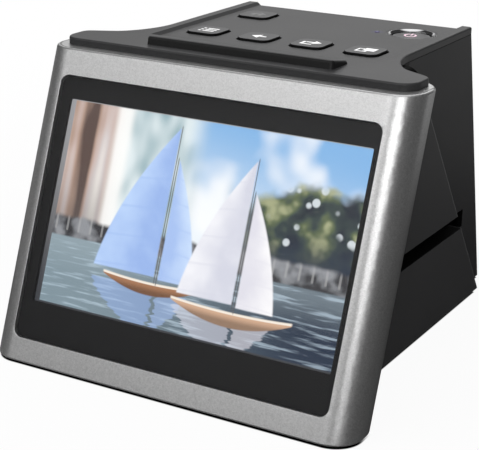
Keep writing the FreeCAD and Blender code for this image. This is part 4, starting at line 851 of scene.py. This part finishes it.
def key_looks():
    """The six keys' caps, each with its symbol and ink."""
    white = (0.92, 0.92, 0.92)
    centred = (0.0, 0.0)
    return {name: key_cap(name, symbol, ink, shift) for name, symbol, ink, shift in (
        ("mode_key", mode_symbol, white, centred),
        ("left_key", left_symbol, white, centred),
        ("right_key", right_symbol, white, centred),
        ("ok_key", ok_symbol, white, centred),
        ("home_key", home_symbol, (0.16, 0.16, 0.16), centred),
        ("power_key", power_symbol, (0.85, 0.60, 0.70), power_shift),
    )}


def dress():
    """Gives every node of the frame its material."""
    case = case_plastic("case_black", (0.021, 0.021, 0.022), 0.48, 0.42)
    cheek = case_plastic("cheek_black", (0.033, 0.033, 0.034), 0.50, 0.50, grain=2300.0, rim_highlight=6.0)
    inner_black = moulded("gate_black", (0.004, 0.004, 0.004), 0.62, specular=0.1)
    steel = sheet_metal("screw_steel", (0.17, 0.17, 0.18), 0.36)
    bright = sheet_metal("socket_steel", (0.66, 0.66, 0.66), 0.28)
    green = board("circuit_board", (0.010, 0.085, 0.035), (0.03, 0.16, 0.07))
    plunger = gloss("plunger_red", (0.50, 0.06, 0.05), 0.4)
    looks = {
        "front_bezel": silver_paint(),
        "front_housing": case_plastic("housing_black", (0.018, 0.018, 0.019), 0.55, 0.18),
        "display_window": clear_window(),
        "display_mask": moulded(
            "mask_print", (0.028, 0.028, 0.029), 0.6, grain=900.0, height=0.0, specular=0.06, patch=0.10,
        ),
        "display_gasket": foam(),
        "lcd_panel": display_picture(),
        "backlight_tray": opal("tray_white", (0.80, 0.80, 0.79)),
        "display_bracket": sheet_metal("bracket_zinc", (0.55, 0.55, 0.57)),
        "top_cover": cover_plastic(),
        "rubber_feet": moulded(
            "foot_rubber", (0.020, 0.020, 0.020), 0.75, grain=1400.0, height=rubber_depth, specular=0.2,
        ),
        "power_key_ring": key_ring(),
        "status_light_pipe": glow("violet_light", (0.020, 0.012, 0.075), 1.0, (0.02, 0.015, 0.06)),
        "status_led": glow("blue_chip", (0.15, 0.12, 0.9), 1.5),
        "light_leds": glow("white_chip", (1.0, 0.96, 0.86), 0.8),
        "light_box": opal("light_box_white", (0.85, 0.85, 0.84)),
        "light_diffuser": opal("diffuser_opal", (0.90, 0.90, 0.90)),
        "light_board": board("white_board", (0.78, 0.78, 0.78), (0.70, 0.70, 0.70)),
        "lens_elements": lens_glass(),
        "lens_barrel": gloss("barrel_black", (0.02, 0.02, 0.02), 0.3),
        "image_sensor": gloss("sensor_die", (0.05, 0.07, 0.10), 0.12, metallic=0.4),
        "sensor_board": green,
        "main_board": green,
        "keypad_board": green,
        "tact_switches": gloss("switch_body", (0.04, 0.04, 0.04), 0.4),
        "board_components": moulded(
            "chip_black", (0.018, 0.018, 0.020), 0.5, grain=3000.0, height=chip_depth, specular=0.4,
        ),
        "board_connectors": gloss("connector_cream", (0.72, 0.68, 0.56), 0.4),
        "usb_socket": bright,
        "hdmi_socket": bright,
        "card_socket": bright,
        "detent_springs": sheet_metal("spring_steel", (0.70, 0.70, 0.71), 0.2),
        "ribbon_cables": gloss("ribbon_film", (0.62, 0.42, 0.16), 0.3),
        "camera_housing": inner_black,
        "film_gate_lower": inner_black,
        "film_gate_upper": inner_black,
        "film_rails": inner_black,
        **key_looks(),
    }
    for name, piece in frame["nodes"].items():
        if name.endswith("_plunger"):
            looks[name] = plunger
        elif name.endswith("_screws"):
            looks[name] = steel
        elif "_cheek_" in name:
            looks[name] = cheek
        piece.data.materials.clear()
        piece.data.materials.append(looks.setdefault(name, case))
    return looks


# Rounded copies of the visible nodes

weld_distance = 0.002 * mm
flat_angle = 0.6 * degree
sharp_angle = 32 * degree
smooth_angle = 38 * degree
window_thickness = 1.5 * mm
print_gap = 0.12 * mm
edge_round = {
    "front_bezel": 0.20 * mm,
    "display_window": 0.12 * mm,
    "top_cover": 0.12 * mm,
    "rear_shell": 0.20 * mm,
    "base_plate": 0.25 * mm,
    "front_housing": 0.15 * mm,
    **{f"{side}_cheek_{level}": 0.22 * mm for side in ("left", "right") for level in ("upper", "lower")},
    **{f"{key}_key": 0.10 * mm for key in ("mode", "left", "right", "ok", "home", "power")},
    "power_key_ring": 0.08 * mm,
    **{f"film_{piece}": 0.15 * mm for piece in ("gate_lower", "gate_upper", "rails")},
    **{f"{plug}_socket": 0.08 * mm for plug in ("usb", "hdmi", "card")},
}


def rounded_copy(node, width, look):
    """Copy of a node with merged faces and small rounded edges, in the node's place."""
    source = frame["nodes"][node]
    bm = bmesh.new()
    bm.from_mesh(source.data)
    bm.transform(source.matrix_world)
    bmesh.ops.remove_doubles(bm, verts=bm.verts, dist=weld_distance)
    bmesh.ops.dissolve_limit(bm, angle_limit=flat_angle, verts=bm.verts, edges=bm.edges)
    sharp = [
        edge for edge in bm.edges
        if len(edge.link_faces) == 2 and edge.calc_face_angle(0.0) > sharp_angle
    ]
    bmesh.ops.bevel(
        bm, geom=sharp, offset=width, offset_type="OFFSET", affect="EDGES", segments=2,
        profile=0.5, material=-1, clamp_overlap=False, loop_slide=True,
    )
    bmesh.ops.recalc_face_normals(bm, faces=bm.faces)
    for face in bm.faces:
        face.smooth = True
    mesh = bpy.data.meshes.new(node + "_rounded")
    bm.to_mesh(mesh)
    bm.free()
    mesh.set_sharp_from_angle(angle=smooth_angle)
    mesh.materials.append(look)
    piece = bpy.data.objects.new(node + "_rounded", mesh)
    bpy.context.scene.collection.objects.link(piece)
    evened = piece.modifiers.new("even_shading", "WEIGHTED_NORMAL")
    evened.keep_sharp = True
    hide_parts(node)
    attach(piece, bodies[node])
    return piece


def lift_window(piece):
    """Draws the pane's back a hair forward, so that it doesn't share a plane with the print."""
    for vertex in piece.data.vertices:
        if (vertex.co - face_foot).dot(face_in) > window_thickness / 2:
            vertex.co -= face_in * print_gap


def refine(looks):
    for node, width in edge_round.items():
        piece = rounded_copy(node, width, looks[node])
        if node == "display_window":
            lift_window(piece)


# Floor

floor_radius = 6.0
floor_sides = 96
open_floor_run = (100.0 * mm, 500.0 * mm)
flag_gap_side = (15.0 * mm, 60.0 * mm)
flag_gap_back = (120.0 * mm, 220.0 * mm)
right_flag = (-50.0 * mm, 100.0 * mm)
left_flag = (60.0 * mm, 160.0 * mm)
bezel_foot_rear = (-61.0 * mm, -60.0 * mm)
bezel_foot_corner_run = (-70.0 * mm, -62.0 * mm)
bezel_foot_corner_side = (63.0 * mm, 65.0 * mm)
bezel_foot_blur = 0.6 * mm
body_foot_blur = 0.5 * mm
body_foot_inset = (-1.0 * mm, -0.4 * mm)
cheek_foot_middle = -7.0 * mm
cheek_foot_reach = (69.0 * mm, 70.0 * mm)


def contact_shadow(x, y):
    """Dark area close under the bezel, the cheeks and the body, which stand just above the floor."""
    aside = abs(x)
    from_corner = past_corners(x, y - bezel_low.y)
    rear_corner = y.rise(*bezel_foot_corner_run) * aside.rise(*bezel_foot_corner_side)
    under_bezel = from_corner.fall(bezel_corner - bezel_foot_blur, bezel_corner) * (1.0 - rear_corner)
    under_bezel = under_bezel * y.fall(*bezel_foot_rear)
    under_cheeks = aside.fall(cheek_side - body_foot_blur, cheek_side)
    under_cheeks = under_cheeks * abs(y - cheek_foot_middle).fall(*cheek_foot_reach)
    under_body = aside.fall(body_side - body_foot_blur, body_side)
    under_body = under_body * (abs(y) + bezel_low.y).fall(*body_foot_inset)
    return under_bezel | under_cheeks | under_body


def white_floor():
    """Pale floor that looks white away from the object and keeps its soft shadow.

    Gloss sees it dark behind black flags on the left and right, with a gap towards the rear."""
    bm = bmesh.new()
    bmesh.ops.create_circle(bm, cap_ends=True, radius=floor_radius, segments=floor_sides)
    mesh = bpy.data.meshes.new("floor")
    bm.to_mesh(mesh)
    bm.free()
    floor = bpy.data.objects.new("floor", mesh)
    bpy.context.scene.collection.objects.link(floor)
    shade = Shade("floor_white")
    seen, glossy, through = shade.rays()
    viewed = seen | through
    x, y = shade.xyz()[:2]
    open_floor = shade.vector_maths("LENGTH", shade.at(), out="Value").rise(*open_floor_run)
    flag_gap = (y - x).rise(*flag_gap_side) * y.rise(*flag_gap_back) * 0.66
    flagged = x.rise(*right_flag) * (1.0 - flag_gap) * 0.92 | (-x).rise(*left_flag) * 0.7
    gloss_level = (open_floor * 0.45 + 0.10) * (1.0 - flagged)
    under = contact_shadow(x, y) * viewed
    matt = shade.shader(base_color=(0.80, 0.80, 0.80), roughness=0.9, specular_ior_level=0.0)
    white = shade.node("ShaderNodeEmission", None, {
        "Color": (1.0, 1.0, 1.0), "Strength": (1.0 - glossy * (1.0 - gloss_level)) * (1.0 - under),
    })
    share = viewed * (open_floor * 0.06 + 0.94 | under) | glossy
    mesh.materials.append(shade.parted(share, matt, white))


# Room: screens round the object, as pairs of angles in degrees between which each fades
# The turn is 0 in front of the object, 90 on its right and 180 behind it. The lift is 90 straight above.

back_left_turn = (-132, -120)
back_left_lift = (2, 10)
back_right_turn = (168, 178)
front_outer_turn = (-84, -52)
front_inner_turn = (-50, -18)
front_end_turn = (-10, 12)
front_lift = (4, 30)
front_top_lift = (40, 50)
ceiling_lift = (55, 70)


def fade(angle, limits):
    """Smooth step between two angles that are given in degrees."""
    return angle.rise(limits[0] * degree, limits[1] * degree)


def surroundings():
    """White room as the camera sees it, with grey screens round the object as gloss sees it."""
    world = bpy.data.worlds.new("studio")
    bpy.context.scene.world = world
    sky = Shade("studio", world)
    way = sky.node("ShaderNodeTexCoord", out="Generated")
    x, y, z = [sky.axis(way, index) for index in range(3)]
    seen, glossy, through = sky.rays()
    turn = x.maths("ARCTAN2", -y)
    lift = z.maths("ARCSINE")
    back_left = (1.0 - fade(turn, back_left_turn)) * fade(lift, back_left_lift)
    back_right = fade(turn, back_right_turn)
    front = fade(turn, front_outer_turn) * 0.40 + fade(turn, front_inner_turn) * 0.68
    front = front * (1.0 - fade(turn, front_end_turn)) * (fade(lift, front_lift) * 1.84 + 0.13)
    front = front * (1.0 - fade(lift, front_top_lift) * 0.9)
    ceiling = fade(lift, ceiling_lift) * 1.15
    gloss_level = (front | ceiling | 0.04) | (back_left | back_right) * 0.74
    plain_level = z.rise(-0.4, 0.9) * 0.25 + x.rise(-0.9, 0.9) * -0.12 + 0.42
    view = seen | through
    level = view + (1.0 - view) * (glossy * gloss_level + (1.0 - glossy) * plain_level)
    sky.finish(sky.node("ShaderNodeBackground", None, {"Color": (1.0, 1.0, 1.0), "Strength": level}))


def lamps():
    """Soft boxes above, in front, on the left and behind. Gloss sees the front and the back one only."""
    for name, place, aim, size, power, in_gloss in (
        ("lamp_above", (-0.25, -0.15, 0.95), (0.0, 0.0, 0.05), (0.9, 0.9), 3.0, False),
        ("lamp_front", (0.60, -0.92, 0.62), (0.0, -0.03, 0.06), (0.50, 0.65), 3.7, True),
        ("lamp_left", (-1.0, -0.5, 0.6), (0.0, 0.0, 0.05), (0.6, 0.8), 0.8, False),
        ("lamp_back", (-0.3, 1.1, 0.8), (0.0, 0.0, 0.08), (0.9, 0.6), 1.2, True),
    ):
        light = bpy.data.lights.new(name, "AREA")
        light.shape = "RECTANGLE"
        light.size, light.size_y = size
        light.energy = power
        lamp = bpy.data.objects.new(name, light)
        lamp.location = place
        lamp.rotation_euler = (Vector(aim) - Vector(place)).to_track_quat("-Z", "Y").to_euler()
        lamp.visible_glossy = in_gloss
        bpy.context.scene.collection.objects.link(lamp)


# Camera, solved from the straight edges in the photograph

camera_place = Vector((225.0, -416.4, 198.2)) * mm
camera_turn = 30.07 * degree
camera_rise = 19.00 * degree
camera_roll = 0.79 * degree
sensor_width = 36.0
focal_length = 108.1


def photographer():
    """Camera at the photograph's place, angle and focal length."""
    back = Vector((
        math.sin(camera_turn) * math.cos(camera_rise),
        -math.cos(camera_turn) * math.cos(camera_rise),
        math.sin(camera_rise),
    ))
    right = Vector((math.cos(camera_turn), math.sin(camera_turn), 0))
    up = back.cross(right)
    side = right * math.cos(camera_roll) + up * math.sin(camera_roll)
    top = up * math.cos(camera_roll) - right * math.sin(camera_roll)
    lens = bpy.data.cameras.new("camera")
    lens.sensor_fit = "HORIZONTAL"
    lens.sensor_width = sensor_width
    lens.lens = focal_length
    lens.clip_start = 20.0 * mm
    lens.clip_end = 5 * floor_radius
    camera = bpy.data.objects.new("camera", lens)
    attitude = Matrix((side, top, back)).transposed().to_4x4()
    camera.matrix_world = Matrix.Translation(camera_place) @ attitude
    bpy.context.scene.collection.objects.link(camera)
    bpy.context.scene.camera = camera


photographer()
white_floor()
surroundings()
lamps()
refine(dress())

bpy.context.scene.view_settings.view_transform = "Standard"
